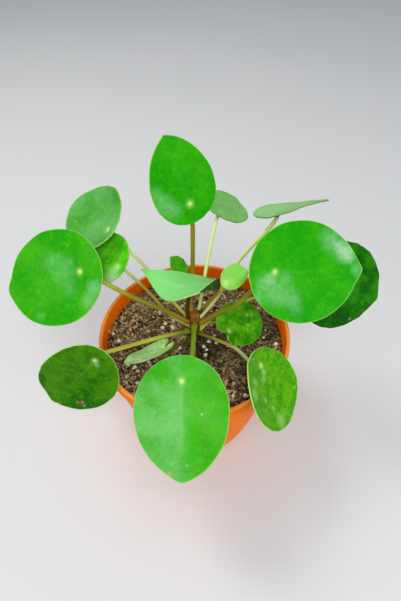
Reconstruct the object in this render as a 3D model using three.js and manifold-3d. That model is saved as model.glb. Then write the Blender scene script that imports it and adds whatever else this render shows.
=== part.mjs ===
// A potted pilea: a thin plastic pot filled with potting soil, and one short stem that carries sixteen
// round shield leaves, each on a stalk of its own. Millimetres, +Z up. The origin is the middle of the
// pot's foot, on the surface that the pot stands on. The front of the plant looks towards -Y.

import * as THREE from 'three';
import * as BufferGeometryUtils from 'three/addons/utils/BufferGeometryUtils.js';
import Module from 'manifold-3d';

const wasm = await Module();
wasm.setup();

// Driving dimensions of the pot
const POT_HEIGHT = 100;
const RIM_RADIUS = 62.5;
const RIM_BAND_HEIGHT = 8;
const RIM_BAND_STEP = 1.6;
const FOOT_RADIUS = 44;
const FOOT_RING_WIDTH = 7;
const FOOT_RECESS = 1.6;
const FOOT_PAD_RADIUS = 12;
const WALL = 2.2;
const DRAIN_HOLE_RADIUS = 4;
const DRAIN_CIRCLE_RADIUS = 24;
const DRAIN_HOLES = 6;
const POT_SIDES = 40;

// Driving dimensions of the soil and of the stem that stands in it
const SOIL_LEVEL = 89.5;
const SOIL_ROUGHNESS = 0.7;
const SOIL_SIDES = 32;
const PERLITE_BITS = 22;
const PERLITE_RADIUS = 1.3;
const STEM_X = 0;
const STEM_Y = 3;
const STEM_ROOT = 78;
const STEM_TOP = 113;
const STEM_RADIUS = 3.9;
const STEM_SIDES = 12;

// Clearance between pieces that touch on the real plant
const GAP = 0.3;

// Leaf blades and stalks
const BLADE_THICKNESS = 0.8;
const RIPPLES = 4;
const TIP_SPREAD = 0.55;
const BLADE_SIDES = 28;
const SMALL_BLADE_SIDES = 20;
const STALK_SIDES = 8;
const STALK_STEPS = 8;

// Every leaf is measured from the pale spot where its stalk joins the blade.
// spot: where that spot lies. faces and tilt: the bearing that the upper face looks to, and how far it
// leans from level, in degrees. swing: the turn of the tip from the steepest way down, in degrees.
// length and width: the blade's own size. base: the share of the length behind the spot.
// egg: how much broader the base half is than the tip half. cup, bow and twist: the bend across, along
// and on the diagonal. fold: a crease on the midrib. heel: the bend of the base. lean: one half wider.
// ripple: the waves of the margin. notch: a cut in the base. point: how far the tip is drawn out.
// root: where the stalk leaves the stem. via: points that the stalk passes. knee: how far under the
// blade the stalk has turned square to it.
const LEAF_FORM = {
  base: 0.22, egg: 0.03, cup: 0, bow: 0, twist: 0, fold: 0, heel: 0, lean: 0, ripple: 0.35, notch: 0,
  point: 0.05, knee: 3.5,
};
const LEAVES = [
  {
    name: 'leaf_top', spot: [-2, 22, 182], faces: -63, tilt: 68, swing: -169,
    length: 46.7, width: 36.8, base: 0.235, egg: 0.15, bow: 0.016, twist: 0.046, point: 0.025,
    colour: 0x2aa010,
    root: [-2.1, 5.4, 112], via: [[-1.3, 22.5, 129.5], [-0.9, 23.5, 150], [-1, 25.5, 168]], thickness: 2.9,
  },
  {
    name: 'leaf_left', spot: [-64, 0, 152], faces: -116.5, tilt: 47, swing: -60,
    length: 65.8, width: 55.7, base: 0.217, egg: 0.04, twist: 0.045, bow: -0.024, cup: -0.013, point: 0.044,
    colour: 0x35a818,
    root: [-3.6, 3.5, 103], via: [[-19, 2.5, 115.5], [-38.5, -1, 133]], thickness: 3.0,
  },
  {
    name: 'leaf_upper_left', spot: [-51, 27.5, 160], faces: -167.4, tilt: 38.3, swing: -63.5,
    length: 47.2, width: 41.3, base: 0.165, egg: 0.234, cup: 0.6, bow: 0.346, twist: 0.108, lean: -0.06,
    point: 0, colour: 0x57a346,
    root: [-4.4, 4.6, 107],
    via: [[-15, 13, 113.5], [-30, 24, 130.5], [-39, 22.5, 147.5], [-47, 31.5, 150.5], [-52.5, 37.5, 151.5]],
    thickness: 2.3, knee: 1,
  },
  {
    name: 'leaf_mid_left', spot: [-45, 10, 146.5], faces: -142, tilt: 41, swing: -88,
    length: 33, width: 31, base: 0.19, cup: 0.05, colour: 0x4aa62a,
    root: [-4, 4.6, 98], via: [[-15.5, 9.5, 101], [-31, 21, 113]], thickness: 2.2,
  },
  {
    name: 'leaf_lower_left', spot: [-56, -36.5, 117.5], faces: -90.8, tilt: 69.7, swing: -42,
    length: 51.3, width: 44.2, base: 0.171, egg: -0.013, cup: 0.23, bow: -0.08, twist: -0.153, lean: 0.062,
    point: 0.025, ripple: 0.9, colour: 0x2a7d10,
    root: [-3.8, 1.2, 95.5], via: [[-19.3, -7, 101], [-37, -17, 106]], thickness: 2.9,
  },
  {
    name: 'leaf_front', spot: [-6.5, -49, 116], faces: -125.6, tilt: 36.7, swing: 29.4,
    length: 64.6, width: 56.1, base: 0.219, egg: 0.077, cup: 0.037, bow: -0.028, twist: -0.021, lean: -0.03,
    colour: 0x3da82a,
    root: [-0.2, -0.9, 103.5], via: [[-0.7, -14, 103], [-1.1, -26, 106]], thickness: 3.5,
  },
  {
    name: 'leaf_lower_right', spot: [38.5, -36.5, 112], faces: -24.4, tilt: 52.4, swing: -30.4,
    length: 47.2, width: 45.9, base: 0.21, egg: 0.028, cup: 0.473, bow: 0.146, twist: 0.042, point: 0,
    colour: 0x3f9e20,
    root: [3.4, 0.4, 94], via: [[15.5, -7.5, 97], [25.5, -17, 102]], thickness: 2.4,
  },
  {
    name: 'leaf_right', spot: [44.5, -4.5, 156], faces: -66.9, tilt: 49.5, swing: 75.7,
    length: 68.5, width: 57.8, base: 0.226, twist: -0.052, cup: -0.011, lean: -0.017, colour: 0x2fa514,
    root: [3.9, 2.2, 104], via: [[15.5, 0, 116.5], [25, -3, 126]], thickness: 3.2,
  },
  {
    name: 'leaf_far_right', spot: [76.5, 4, 140.5], faces: -62.8, tilt: 63.7, swing: 56,
    length: 60.8, width: 54.9, base: 0.236, egg: 0.04, cup: -0.139, twist: 0.086, point: 0.042,
    colour: 0x1f6f14,
    root: [4, 4.4, 99], via: [[14.5, 11, 99.5], [25.5, 16, 101.5], [35.5, 20.5, 104], [42.5, 20.5, 108.5]],
    thickness: 2.6,
  },
  {
    name: 'leaf_upper_right', spot: [48.5, 35, 168], faces: 121, tilt: 31.7, swing: -94.4,
    length: 44.2, width: 45.2, base: 0.26, egg: 0.134, cup: 0.12, bow: -0.17, twist: -0.068, lean: -0.02,
    point: 0.076, colour: 0x86bd68,
    root: [4, 5.4, 107], via: [[13.5, 12, 115.5], [27, 23.5, 137]], thickness: 2.7,
  },
  {
    name: 'leaf_upper_back', spot: [16, 45, 160], faces: 16.4, tilt: 26, swing: 47.7,
    length: 37.4, width: 31.4, base: 0.175, egg: 0.009, cup: 0.051, bow: 0.022, twist: 0.017,
    colour: 0x7cb35f,
    root: [2.2, 6.2, 110], via: [[4.8, 14.5, 120.5], [9.7, 31, 141.5]], thickness: 2.4,
  },
  {
    name: 'leaf_centre', spot: [-3, 0, 139.7], faces: 106.9, tilt: 29.5, swing: 52.2, small: true,
    length: 45.7, width: 39.6, base: 0.402, egg: 0.694, cup: -0.137, bow: 0.552, twist: -0.777, heel: -0.14,
    lean: -0.077, colour: 0x7dd67f, root: [-3.6, 2, 109.5], via: [[-4.2, 2, 122]], thickness: 2.6,
  },
  {
    name: 'leaf_young_right', spot: [17.4, -10.9, 154.3], faces: -66, tilt: 67, swing: 106, small: true,
    length: 15.5, width: 14.7, base: 0.173, egg: -0.041, cup: 0.035, bow: 0.08, lean: 0.083, point: 0.037,
    colour: 0x6cc63a,
    root: [3.1, 3.6, 112], via: [[9.8, -3.4, 131.5], [15.5, -9.8, 148.5]], thickness: 2.1,
  },
  {
    name: 'leaf_young_back', spot: [-7.4, 29.5, 124.2], faces: -30.4, tilt: 53, swing: -166, small: true,
    length: 16.4, width: 13.4, base: 0.215, egg: 0.04, cup: -0.067, point: 0.077, ripple: 0.1,
    colour: 0x4fc01c,
    root: [-1.2, 7, 105.5], via: [[-4.2, 15, 112]], thickness: 1.7,
  },
  {
    name: 'leaf_low_right', spot: [21.9, -7.5, 106.6], faces: -32.4, tilt: 20, swing: 78, small: true,
    length: 34.2, width: 30.7, base: 0.181, egg: 0.05, notch: 0.65, point: 0.025, colour: 0x2f9210,
    root: [3.4, 4, 94], via: [[10, 8, 96.5], [17.5, 4, 99.5]], thickness: 1.9,
  },
  {
    name: 'leaf_low_left', spot: [-18.8, -17, 101.9], faces: 140.4, tilt: 33, swing: 78.4, small: true,
    length: 30.9, width: 21.9, base: 0.22, egg: 0.064, cup: -0.112, bow: 0.385, fold: 0.414, twist: 0.106,
    lean: 0.066, notch: 0.8, colour: 0x8cc472,
    root: [-2.2, -1, 92.6], via: [[-11.3, -12.3, 97.5]], thickness: 2.0,
  },
];

const degrees = THREE.MathUtils.degToRad;

function material(colour, roughness) {
  return new THREE.MeshStandardMaterial({ color: colour, roughness, metalness: 0 });
}

function mesh(name, geometry, look) {
  const piece = new THREE.Mesh(geometry, look);
  piece.name = name;
  return piece;
}

function closedGeometry(points, triangles) {
  const geometry = new THREE.BufferGeometry();
  const numbers = points.flatMap((point) => [point.x, point.y, point.z]);
  geometry.setAttribute('position', new THREE.Float32BufferAttribute(numbers, 3));
  geometry.setIndex(triangles.flat());
  return geometry;
}

// A solid that can be joined and cut, from any closed geometry
function solidOf(geometry) {
  const bare = geometry.clone();
  bare.deleteAttribute('normal');
  bare.deleteAttribute('uv');
  const merged = BufferGeometryUtils.mergeVertices(bare, 1e-4);
  const index = merged.index.array;
  const kept = [];
  for (let i = 0; i < index.length; i += 3) {
    const [a, b, c] = [index[i], index[i + 1], index[i + 2]];
    if (a !== b && b !== c && c !== a) kept.push(a, b, c);
  }
  return new wasm.Manifold(new wasm.Mesh({
    numProp: 3,
    vertProperties: Float32Array.from(merged.attributes.position.array),
    triVerts: Uint32Array.from(kept),
  }));
}

function geometryOf(solid) {
  const result = solid.getMesh();
  const geometry = new THREE.BufferGeometry();
  geometry.setAttribute('position', new THREE.BufferAttribute(Float32Array.from(result.vertProperties), 3));
  geometry.setIndex(new THREE.BufferAttribute(Uint32Array.from(result.triVerts), 1));
  return geometry;
}

// A turned body about the upright axis, from (radius, height) pairs that start and end on the axis
function turned(profile, sides) {
  const points = profile.map(([radius, height]) => new THREE.Vector2(radius, height));
  return new THREE.LatheGeometry(points, sides).rotateX(Math.PI / 2);
}

// The pot's wall swells slightly between its foot and the band under the rim
function wallRadius(height) {
  const share = height / (POT_HEIGHT - RIM_BAND_HEIGHT);
  const top = RIM_RADIUS - RIM_BAND_STEP;
  return FOOT_RADIUS + (top - FOOT_RADIUS) * share ** 0.85;
}

const WALL_LEVELS = [0.14, 0.32, 0.52, 0.76, 1];
const FLOOR_TOP = FOOT_RECESS + WALL;

function potGeometry() {
  const ringInside = FOOT_RADIUS - FOOT_RING_WIDTH;
  const bandFoot = POT_HEIGHT - RIM_BAND_HEIGHT;
  const outer = WALL_LEVELS.map((share) => [wallRadius(bandFoot * share), bandFoot * share]);
  const inner = outer.map(([radius, height]) => [radius - WALL, height]).reverse();
  const profile = [
    [0, 0], [FOOT_PAD_RADIUS, 0], [FOOT_PAD_RADIUS + 1, FOOT_RECESS],
    [ringInside - 1, FOOT_RECESS], [ringInside, 0], [FOOT_RADIUS - 1.5, 0], [FOOT_RADIUS + 0.2, 1.5],
    ...outer,
    [RIM_RADIUS - 0.2, bandFoot + 0.6], [RIM_RADIUS, POT_HEIGHT - 1.4],
    [RIM_RADIUS - 0.6, POT_HEIGHT - 0.2], [RIM_RADIUS - 1.4, POT_HEIGHT],
    [RIM_RADIUS - 2.2, POT_HEIGHT - 0.3], [RIM_RADIUS - 2.6, POT_HEIGHT - 1.4],
    ...inner,
    [FOOT_RADIUS - WALL, FLOOR_TOP + 1.5], [FOOT_RADIUS - WALL - 1.5, FLOOR_TOP], [0, FLOOR_TOP],
  ];
  let pot = solidOf(turned(profile, POT_SIDES));
  for (let i = 0; i < DRAIN_HOLES; i += 1) {
    const hole = new THREE.CylinderGeometry(DRAIN_HOLE_RADIUS, DRAIN_HOLE_RADIUS, 4 * WALL, 12);
    hole.rotateX(Math.PI / 2).translate(DRAIN_CIRCLE_RADIUS, 0, FLOOR_TOP);
    pot = pot.subtract(solidOf(hole.rotateZ((i / DRAIN_HOLES) * 2 * Math.PI)));
  }
  return geometryOf(pot);
}

// The soil's surface: gentle lumps, a little higher at the wall than at the stem
function soilHeight(x, y) {
  const reach = Math.hypot(x, y) / RIM_RADIUS;
  const lumps = Math.sin(x * 0.21 + 1.3) * Math.cos(y * 0.17 - 0.4) + 0.6 * Math.sin(x * 0.43 - y * 0.37);
  return SOIL_LEVEL + SOIL_ROUGHNESS * lumps * Math.min(1, reach * 2) + 1.2 * reach ** 2;
}

// A seeded draw, so that the perlite bits lie alike every time
function seededDraw(seed) {
  let state = seed;
  return () => {
    state = (state * 16807) % 2147483647;
    return state / 2147483647;
  };
}

function perliteBit(draw) {
  const radius = PERLITE_RADIUS * (0.75 + 0.5 * draw());
  const reach = 14 + 40 * Math.sqrt(draw());
  const bearing = 2 * Math.PI * draw();
  const x = reach * Math.cos(bearing);
  const y = reach * Math.sin(bearing);
  const bit = new THREE.IcosahedronGeometry(radius, 0);
  bit.rotateZ(draw() * Math.PI).scale(1, 0.8, 0.75);
  return bit.translate(x, y, soilHeight(x, y) - 0.3 * radius);
}

function soilGeometry() {
  const rings = [0.16, 0.34, 0.52, 0.7, 0.86, 1];
  const levels = [[FOOT_RADIUS - WALL - 2, FLOOR_TOP + GAP], [FOOT_RADIUS - WALL - GAP, FLOOR_TOP + 2]];
  const bandFoot = POT_HEIGHT - RIM_BAND_HEIGHT;
  for (const share of WALL_LEVELS.slice(0, -1)) {
    levels.push([wallRadius(bandFoot * share) - WALL - GAP - 0.15, bandFoot * share]);
  }
  const topRadius = wallRadius(SOIL_LEVEL) - WALL - GAP - 0.15;
  const points = [new THREE.Vector3(0, 0, FLOOR_TOP + GAP)];
  const ringPoints = (radius, height) => {
    for (let i = 0; i < SOIL_SIDES; i += 1) {
      const bearing = (i / SOIL_SIDES) * 2 * Math.PI;
      const x = radius * Math.cos(bearing);
      const y = radius * Math.sin(bearing);
      points.push(new THREE.Vector3(x, y, height ?? soilHeight(x, y)));
    }
  };
  for (const [radius, height] of levels) ringPoints(radius, height);
  for (const share of rings.slice().reverse()) ringPoints(topRadius * share);
  points.push(new THREE.Vector3(0, 0, soilHeight(0, 0)));
  const triangles = fanAndBands(levels.length + rings.length, SOIL_SIDES, points.length - 1);
  let soil = solidOf(closedGeometry(points, triangles));
  const draw = seededDraw(41);
  for (let i = 0; i < PERLITE_BITS; i += 1) soil = soil.add(solidOf(perliteBit(draw)));
  const [holeRadius, holeFoot] = [STEM_RADIUS + GAP, STEM_ROOT - GAP];
  const profile = [[0, holeFoot], [holeRadius, holeFoot], [holeRadius, POT_HEIGHT], [0, POT_HEIGHT]];
  const hole = turned(profile, STEM_SIDES).translate(STEM_X, STEM_Y, 0);
  return geometryOf(soil.subtract(solidOf(hole)));
}

// Triangles of a closed body built as a first point, rings of points above one another, and a last point
function fanAndBands(rings, sides, last) {
  const triangles = [];
  for (let i = 0; i < sides; i += 1) {
    const next = (i + 1) % sides;
    triangles.push([0, 1 + next, 1 + i]);
    for (let ring = 0; ring < rings - 1; ring += 1) {
      const low = 1 + ring * sides;
      const high = low + sides;
      triangles.push([low + i, low + next, high + next], [low + i, high + next, high + i]);
    }
    const top = 1 + (rings - 1) * sides;
    triangles.push([top + i, top + next, last]);
  }
  return triangles;
}

// The short stem, swollen at each ring of old leaf scars, with the growing bud on its top.
// extra widens it all over, to cut the seats of the stalks.
function stemSolid(extra) {
  const length = STEM_TOP - STEM_ROOT;
  const scars = [
    [0.38, 0], [0.45, 0.5], [0.52, 0.2], [0.6, 0.6], [0.68, 0.3], [0.76, 0.7], [0.85, 0.5], [0.93, 1],
  ];
  const profile = [[0, STEM_ROOT - extra], [STEM_RADIUS + extra, STEM_ROOT - extra]];
  for (const [share, narrow] of scars) {
    profile.push([STEM_RADIUS - narrow + extra, STEM_ROOT + length * share]);
  }
  profile.push([STEM_RADIUS - 2 + extra, STEM_TOP + extra * 0.7], [0, STEM_TOP + 0.6 + extra]);
  const stem = turned(profile, STEM_SIDES).translate(STEM_X, STEM_Y, 0);
  const bud = new THREE.SphereGeometry(1.5 + extra, 8, 6).rotateX(Math.PI / 2).scale(1, 0.8, 1.7);
  bud.rotateX(degrees(-12)).translate(STEM_X + 0.6, STEM_Y - 0.6, STEM_TOP + 1);
  return solidOf(stem).add(solidOf(bud));
}

// The leaf's own axes: out of its upper face, towards its tip, and across
function leafAxes(leaf) {
  const bearing = degrees(leaf.faces);
  const lean = degrees(leaf.tilt);
  const swing = degrees(leaf.swing);
  const side = new THREE.Vector3(Math.cos(bearing), Math.sin(bearing), 0);
  const normal = new THREE.Vector3(0, 0, Math.cos(lean)).addScaledVector(side, Math.sin(lean));
  const down = new THREE.Vector3(0, 0, -Math.sin(lean)).addScaledVector(side, Math.cos(lean));
  const tip = down.applyAxisAngle(normal, swing);
  return { normal, tip, across: new THREE.Vector3().crossVectors(normal, tip) };
}

// The margin of a blade, along and across the midrib, seen from the spot at an angle from the tip
function margin(leaf, angle) {
  const fromTip = Math.min(angle, 2 * Math.PI - angle);
  const rise = leaf.point * leaf.length * Math.max(0, 1 - fromTip / TIP_SPREAD) ** 2;
  const cut = 1 - leaf.notch * Math.max(0, 1 - Math.abs(angle - Math.PI) / 0.35);
  const side = Math.sin(angle) >= 0 ? 1 + leaf.lean : 1 - leaf.lean;
  const along = leaf.length * (0.5 - leaf.base) + (leaf.length / 2) * Math.cos(angle) + rise;
  const across = (leaf.width / 2) * Math.sin(angle) * (1 - leaf.egg * Math.cos(angle)) * side;
  return [along * cut, across * cut];
}

// How far the blade's surface stands off its flat plane
function lift(leaf, along, across) {
  const crease = Math.hypot(across, 0.1 * leaf.width) - 0.1 * leaf.width;
  const behind = Math.min(along, 0);
  const bend = (leaf.cup * across ** 2) / leaf.width + (leaf.bow * along ** 2) / leaf.length
    + (leaf.twist * along * across) / leaf.length;
  const ripple = leaf.ripple * (Math.hypot(along, across) / (0.6 * leaf.length)) ** 3
    * Math.sin(RIPPLES * Math.atan2(across, along) + leaf.width);
  return bend + leaf.fold * crease + (leaf.heel * behind ** 2) / (0.2 * leaf.length) + ripple;
}

// Where the sheet slopes, its depth is measured further along the leaf's axis, so that it stays as thick
function stretch(leaf, along, across) {
  const step = 0.01;
  const slopeAlong = (lift(leaf, along + step, across) - lift(leaf, along - step, across)) / (2 * step);
  const slopeAcross = (lift(leaf, along, across + step) - lift(leaf, along, across - step)) / (2 * step);
  return Math.hypot(1, slopeAlong, slopeAcross);
}

// A blade is a sheet on rings of points about its spot, split alike on its two faces.
// below and above are its depths under and over the middle of the sheet.
function bladeGeometry(leaf, below, above) {
  const { normal, tip, across } = leafAxes(leaf);
  const spot = new THREE.Vector3(...leaf.spot);
  const sides = leaf.small ? SMALL_BLADE_SIDES : BLADE_SIDES;
  const rings = [0.36, 0.7, 1];
  const sheet = [[0, 0]];
  for (const share of rings) {
    for (let i = 0; i < sides; i += 1) {
      const [u, v] = margin(leaf, (i / sides) * 2 * Math.PI);
      sheet.push([u * share, v * share]);
    }
  }
  const place = (u, v, depth) => spot.clone().addScaledVector(tip, u).addScaledVector(across, v)
    .addScaledVector(normal, lift(leaf, u, v) + depth * stretch(leaf, u, v));
  const upper = sheet.map(([u, v]) => place(u, v, above));
  const lower = sheet.map(([u, v]) => place(u, v, -below));
  const under = sheet.length;
  const triangles = [];
  const both = (a, b, c) => triangles.push([a, b, c], [under + c, under + b, under + a]);
  for (let i = 0; i < sides; i += 1) {
    const next = (i + 1) % sides;
    both(0, 1 + i, 1 + next);
    for (let ring = 0; ring < rings.length - 1; ring += 1) {
      const near = 1 + ring * sides;
      const far = near + sides;
      both(near + i, far + i, far + next);
      both(near + i, far + next, near + next);
    }
    const edge = 1 + (rings.length - 1) * sides;
    triangles.push([edge + next, edge + i, under + edge + i]);
    triangles.push([edge + next, under + edge + i, under + edge + next]);
  }
  return closedGeometry([...upper, ...lower], triangles);
}

// A stalk leaves the stem outwards, passes its own points, and bends to meet the blade from beneath.
// Its two ends are cut to the stem and to the blade, a hair away from both.
function stalkGeometry(leaf, widerStem) {
  const { normal } = leafAxes(leaf);
  const spot = new THREE.Vector3(...leaf.spot);
  const root = new THREE.Vector3(...leaf.root);
  const heart = new THREE.Vector3(STEM_X, STEM_Y, root.z - 1.2);
  const knee = spot.clone().addScaledVector(normal, -leaf.knee);
  const via = leaf.via.map((point) => new THREE.Vector3(...point));
  const path = new THREE.CatmullRomCurve3([heart, root, ...via, knee, spot]);
  const circle = new THREE.Path().absarc(0, 0, leaf.thickness / 2, 0, 2 * Math.PI);
  const section = new THREE.Shape(circle.getSpacedPoints(STALK_SIDES));
  const sweep = { steps: STALK_STEPS, extrudePath: path, bevelEnabled: false };
  const tube = new THREE.ExtrudeGeometry(section, sweep);
  const seat = solidOf(bladeGeometry(leaf, BLADE_THICKNESS / 2 + GAP, 2 * leaf.knee + 3));
  return geometryOf(solidOf(tube).subtract(widerStem).subtract(seat));
}

const plant = new THREE.Group();
plant.add(mesh('pot', potGeometry(), material(0xf2660f, 0.35)));
plant.add(mesh('soil', soilGeometry(), material(0x3a2a20, 0.95)));
plant.add(mesh('stem', geometryOf(stemSolid(0)), material(0x8a5a1c, 0.6)));

const widerStem = stemSolid(GAP);
for (const values of LEAVES) {
  const leaf = { ...LEAF_FORM, ...values };
  const half = BLADE_THICKNESS / 2;
  plant.add(mesh(`${leaf.name}_stalk`, stalkGeometry(leaf, widerStem), material(0x9aa23c, 0.5)));
  plant.add(mesh(`${leaf.name}_blade`, bladeGeometry(leaf, half, half), material(leaf.colour, 0.4)));
}

export default plant;
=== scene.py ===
import math
import random

import bmesh
import bpy
from mathutils import Matrix, Vector, kdtree, noise


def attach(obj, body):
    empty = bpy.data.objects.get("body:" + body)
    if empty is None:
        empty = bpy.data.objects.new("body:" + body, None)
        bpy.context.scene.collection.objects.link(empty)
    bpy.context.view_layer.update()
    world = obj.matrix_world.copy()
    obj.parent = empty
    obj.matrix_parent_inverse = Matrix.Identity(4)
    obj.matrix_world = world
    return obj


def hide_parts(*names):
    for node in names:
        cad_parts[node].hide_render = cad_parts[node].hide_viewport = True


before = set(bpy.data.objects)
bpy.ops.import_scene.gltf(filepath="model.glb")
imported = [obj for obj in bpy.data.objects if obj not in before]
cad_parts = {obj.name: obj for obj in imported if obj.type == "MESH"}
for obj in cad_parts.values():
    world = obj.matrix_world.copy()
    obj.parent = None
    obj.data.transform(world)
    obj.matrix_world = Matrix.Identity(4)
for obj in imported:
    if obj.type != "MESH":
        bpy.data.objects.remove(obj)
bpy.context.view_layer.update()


# Pot
# A thin nursery pot, injection moulded in glossy orange plastic. One turned wall with a band under its
# rim, a recessed floor between a foot ring and a middle pad, and drain holes. Soil dust clings inside.

# Sizes and places are in millimetres, which MM turns into Blender's metres. Noise scales, bump heights and
# the subsurface depth keep Blender's own units: per metre, and metres.
MM = 0.001
POT_SIDES = 128
POT_HEIGHT = 100.0
RIM_RADIUS = 62.5
FOOT_RADIUS = 44.0
PAD_RADIUS = 12.0
WALL = 2.2
WALL_FOOT = 6.0
WALL_STEPS = 14
WALL_SWELL = 0.85
BAND_FOOT = 92.0
BAND_STEP = 1.6
FLOOR_TOP = 3.8
DRAIN_HOLES = 6
DRAIN_CIRCLE = 24.0
DRAIN_RADIUS = 4.0
DRAIN_SIDES = 32
DRAIN_MIDDLE = 3.0
DRAIN_DEPTH = 8.0


class Finish:
    """A material while it is made: add() places a node and joins what it is given."""

    def __init__(self, name):
        self.material = bpy.data.materials.new(name)
        self.material.use_nodes = True
        self.tree = self.material.node_tree
        self.shader = self.tree.nodes["Principled BSDF"]
        self.place = self.add("TexCoord", "Object")

    def join(self, value, socket):
        """Links another node's socket, or sets a plain value."""
        if isinstance(value, bpy.types.NodeSocket):
            self.tree.links.new(value, socket)
        else:
            socket.default_value = value

    def add(self, kind, out=0, sockets=None, **settings):
        """A node of this kind with its inputs and settings; gives back the output that is asked for."""
        node = self.tree.nodes.new("ShaderNode" + kind)
        for key, value in settings.items():
            setattr(node, key, value)
        for socket, value in (sockets or {}).items():
            self.join(value, node.inputs[socket])
        return node.outputs[out]

    def noise(self, scale, detail, place=None, roughness=0.55):
        sockets = {"Vector": place or self.place, "Scale": scale, "Detail": detail, "Roughness": roughness}
        return self.add("TexNoise", "Fac", sockets)

    def math(self, operation, first, second=0.0):
        return self.add("Math", 0, {0: first, 1: second}, operation=operation)

    def band(self, value, low, high, to_low=0.0, to_high=1.0):
        """Eases from to_low to to_high while the value goes from low to high."""
        sockets = {"Value": value, "From Min": low, "From Max": high, "To Min": to_low, "To Max": to_high}
        return self.add("MapRange", 0, sockets, interpolation_type="SMOOTHSTEP")

    def mix(self, share, first, second):
        """The first colour where the share is 0, the second where it is 1."""
        colours = {0: share, 6: first, 7: second}
        return self.add("Mix", 2, colours, data_type="RGBA")

    def bump(self, height, distance, strength, normal=None):
        sockets = {"Height": height, "Distance": distance, "Strength": strength}
        if normal:
            sockets["Normal"] = normal
        return self.add("Bump", 0, sockets)

    def finish(self, **sockets):
        """Fills the shader's own sockets, named with _ for a space, and gives back the material."""
        for name, value in sockets.items():
            self.join(value, self.shader.inputs[name.replace("_", " ")])
        return self.material


def rgb(red, green, blue):
    return (red, green, blue, 1.0)


def deselect():
    if bpy.context.mode != "OBJECT":
        bpy.ops.object.mode_set(mode="OBJECT")
    bpy.ops.object.select_all(action="DESELECT")


def only(piece):
    """Leaves just this piece selected and active."""
    deselect()
    piece.select_set(True)
    bpy.context.view_layer.objects.active = piece


def settle(piece, name, smooth):
    """Names a finished piece, puts its place into its mesh and smooths it up to that angle."""
    only(piece)
    bpy.ops.object.transform_apply(location=True, rotation=True, scale=True)
    bpy.ops.object.shade_smooth_by_angle(angle=math.radians(smooth))
    piece.name = piece.data.name = name


def rings_from_circle(sides, start, steps):
    """A capped circle drawn up, step by step, through (radius, height) pairs in millimetres."""
    deselect()
    radius, height = start
    bpy.ops.mesh.primitive_circle_add(
        vertices=sides, radius=radius * MM, fill_type="NGON", location=(0, 0, height * MM))
    bpy.ops.object.mode_set(mode="EDIT")
    for next_radius, next_height in steps:
        rise = {"value": (0, 0, (next_height - height) * MM)}
        bpy.ops.mesh.extrude_region_move(TRANSFORM_OT_translate=rise)
        share = next_radius / radius
        bpy.ops.transform.resize(value=(share, share, 1), center_override=(0, 0, 0))
        radius, height = next_radius, next_height
    bpy.ops.mesh.select_all(action="SELECT")
    bpy.ops.mesh.normals_make_consistent(inside=False)
    bpy.ops.object.mode_set(mode="OBJECT")
    return bpy.context.object


def wall_radius(height):
    """Outer radius of the wall below the band, which swells slightly between foot and band."""
    top = RIM_RADIUS - BAND_STEP
    return FOOT_RADIUS + (top - FOOT_RADIUS) * max(0.0, height / BAND_FOOT) ** WALL_SWELL


# The pot's outline as (radius, height) pairs, from the pad under its floor up, over the rim and down inside.
pad_edge = [(12.2, 0.1), (12.8, 0.9), (13.3, 1.5), (13.8, 1.6)]
foot_ring = [
    (36.0, 1.6), (36.2, 0.5), (36.6, 0.1), (37.0, 0.0), (42.3, 0.0), (43.2, 0.2), (43.9, 0.7), (44.3, 1.6)]
wall_rise = BAND_FOOT - WALL_FOOT
wall_levels = [WALL_FOOT + wall_rise * i / WALL_STEPS for i in range(WALL_STEPS + 1)]
outer_wall = [(wall_radius(level), level) for level in wall_levels]
band = [
    (RIM_RADIUS - inset, BAND_FOOT + rise)
    for inset, rise in ((0.9, 0.1), (0.3, 0.3), (0.1, 0.8), (0.0, 3.0), (0.0, 6.5))]
lip = [
    (RIM_RADIUS - inset, POT_HEIGHT - drop)
    for inset, drop in ((0.1, 0.9), (0.5, 0.4), (1.0, 0.1), (1.5, 0.0), (1.9, 0.1), (2.3, 0.4), (2.5, 0.9))]
inside_band = [(59.8, 97.0), (59.4, 94.5)]
inner_wall = [(radius - WALL, level) for radius, level in outer_wall[::-1]]
inner_floor = [(41.6, 4.8), (40.9, 4.1), (39.8, FLOOR_TOP)]
outline = pad_edge + foot_ring + outer_wall + band + lip + inside_band + inner_wall + inner_floor
pot = rings_from_circle(POT_SIDES, (PAD_RADIUS, 0.0), outline)


def cut(piece, cutter):
    """Takes the cutter's shape out of the piece and deletes the cutter."""
    only(piece)
    difference = piece.modifiers.new("cut", "BOOLEAN")
    difference.operation = "DIFFERENCE"
    difference.object = cutter
    bpy.ops.object.modifier_apply(modifier="cut")
    bpy.data.objects.remove(cutter)


for i in range(DRAIN_HOLES):
    bearing = 2 * math.pi * i / DRAIN_HOLES
    deselect()
    x, y = DRAIN_CIRCLE * math.cos(bearing), DRAIN_CIRCLE * math.sin(bearing)
    bpy.ops.mesh.primitive_cylinder_add(
        vertices=DRAIN_SIDES, radius=DRAIN_RADIUS * MM, depth=DRAIN_DEPTH * MM,
        location=(x * MM, y * MM, DRAIN_MIDDLE * MM))
    cut(pot, bpy.context.object)
settle(pot, "nursery_pot", smooth=40)

ORANGE = rgb(0.97, 0.16, 0.0005)
LIGHT_ORANGE = rgb(0.99, 0.20, 0.001)
# A painted highlight along the rim's lip.
LIP_HIGHLIGHT_ORANGE = rgb(0.95, 0.45, 0.12)
SCUFFED_ORANGE = rgb(0.92, 0.45, 0.18)
SOIL_DUST = rgb(0.07, 0.042, 0.022)


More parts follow.
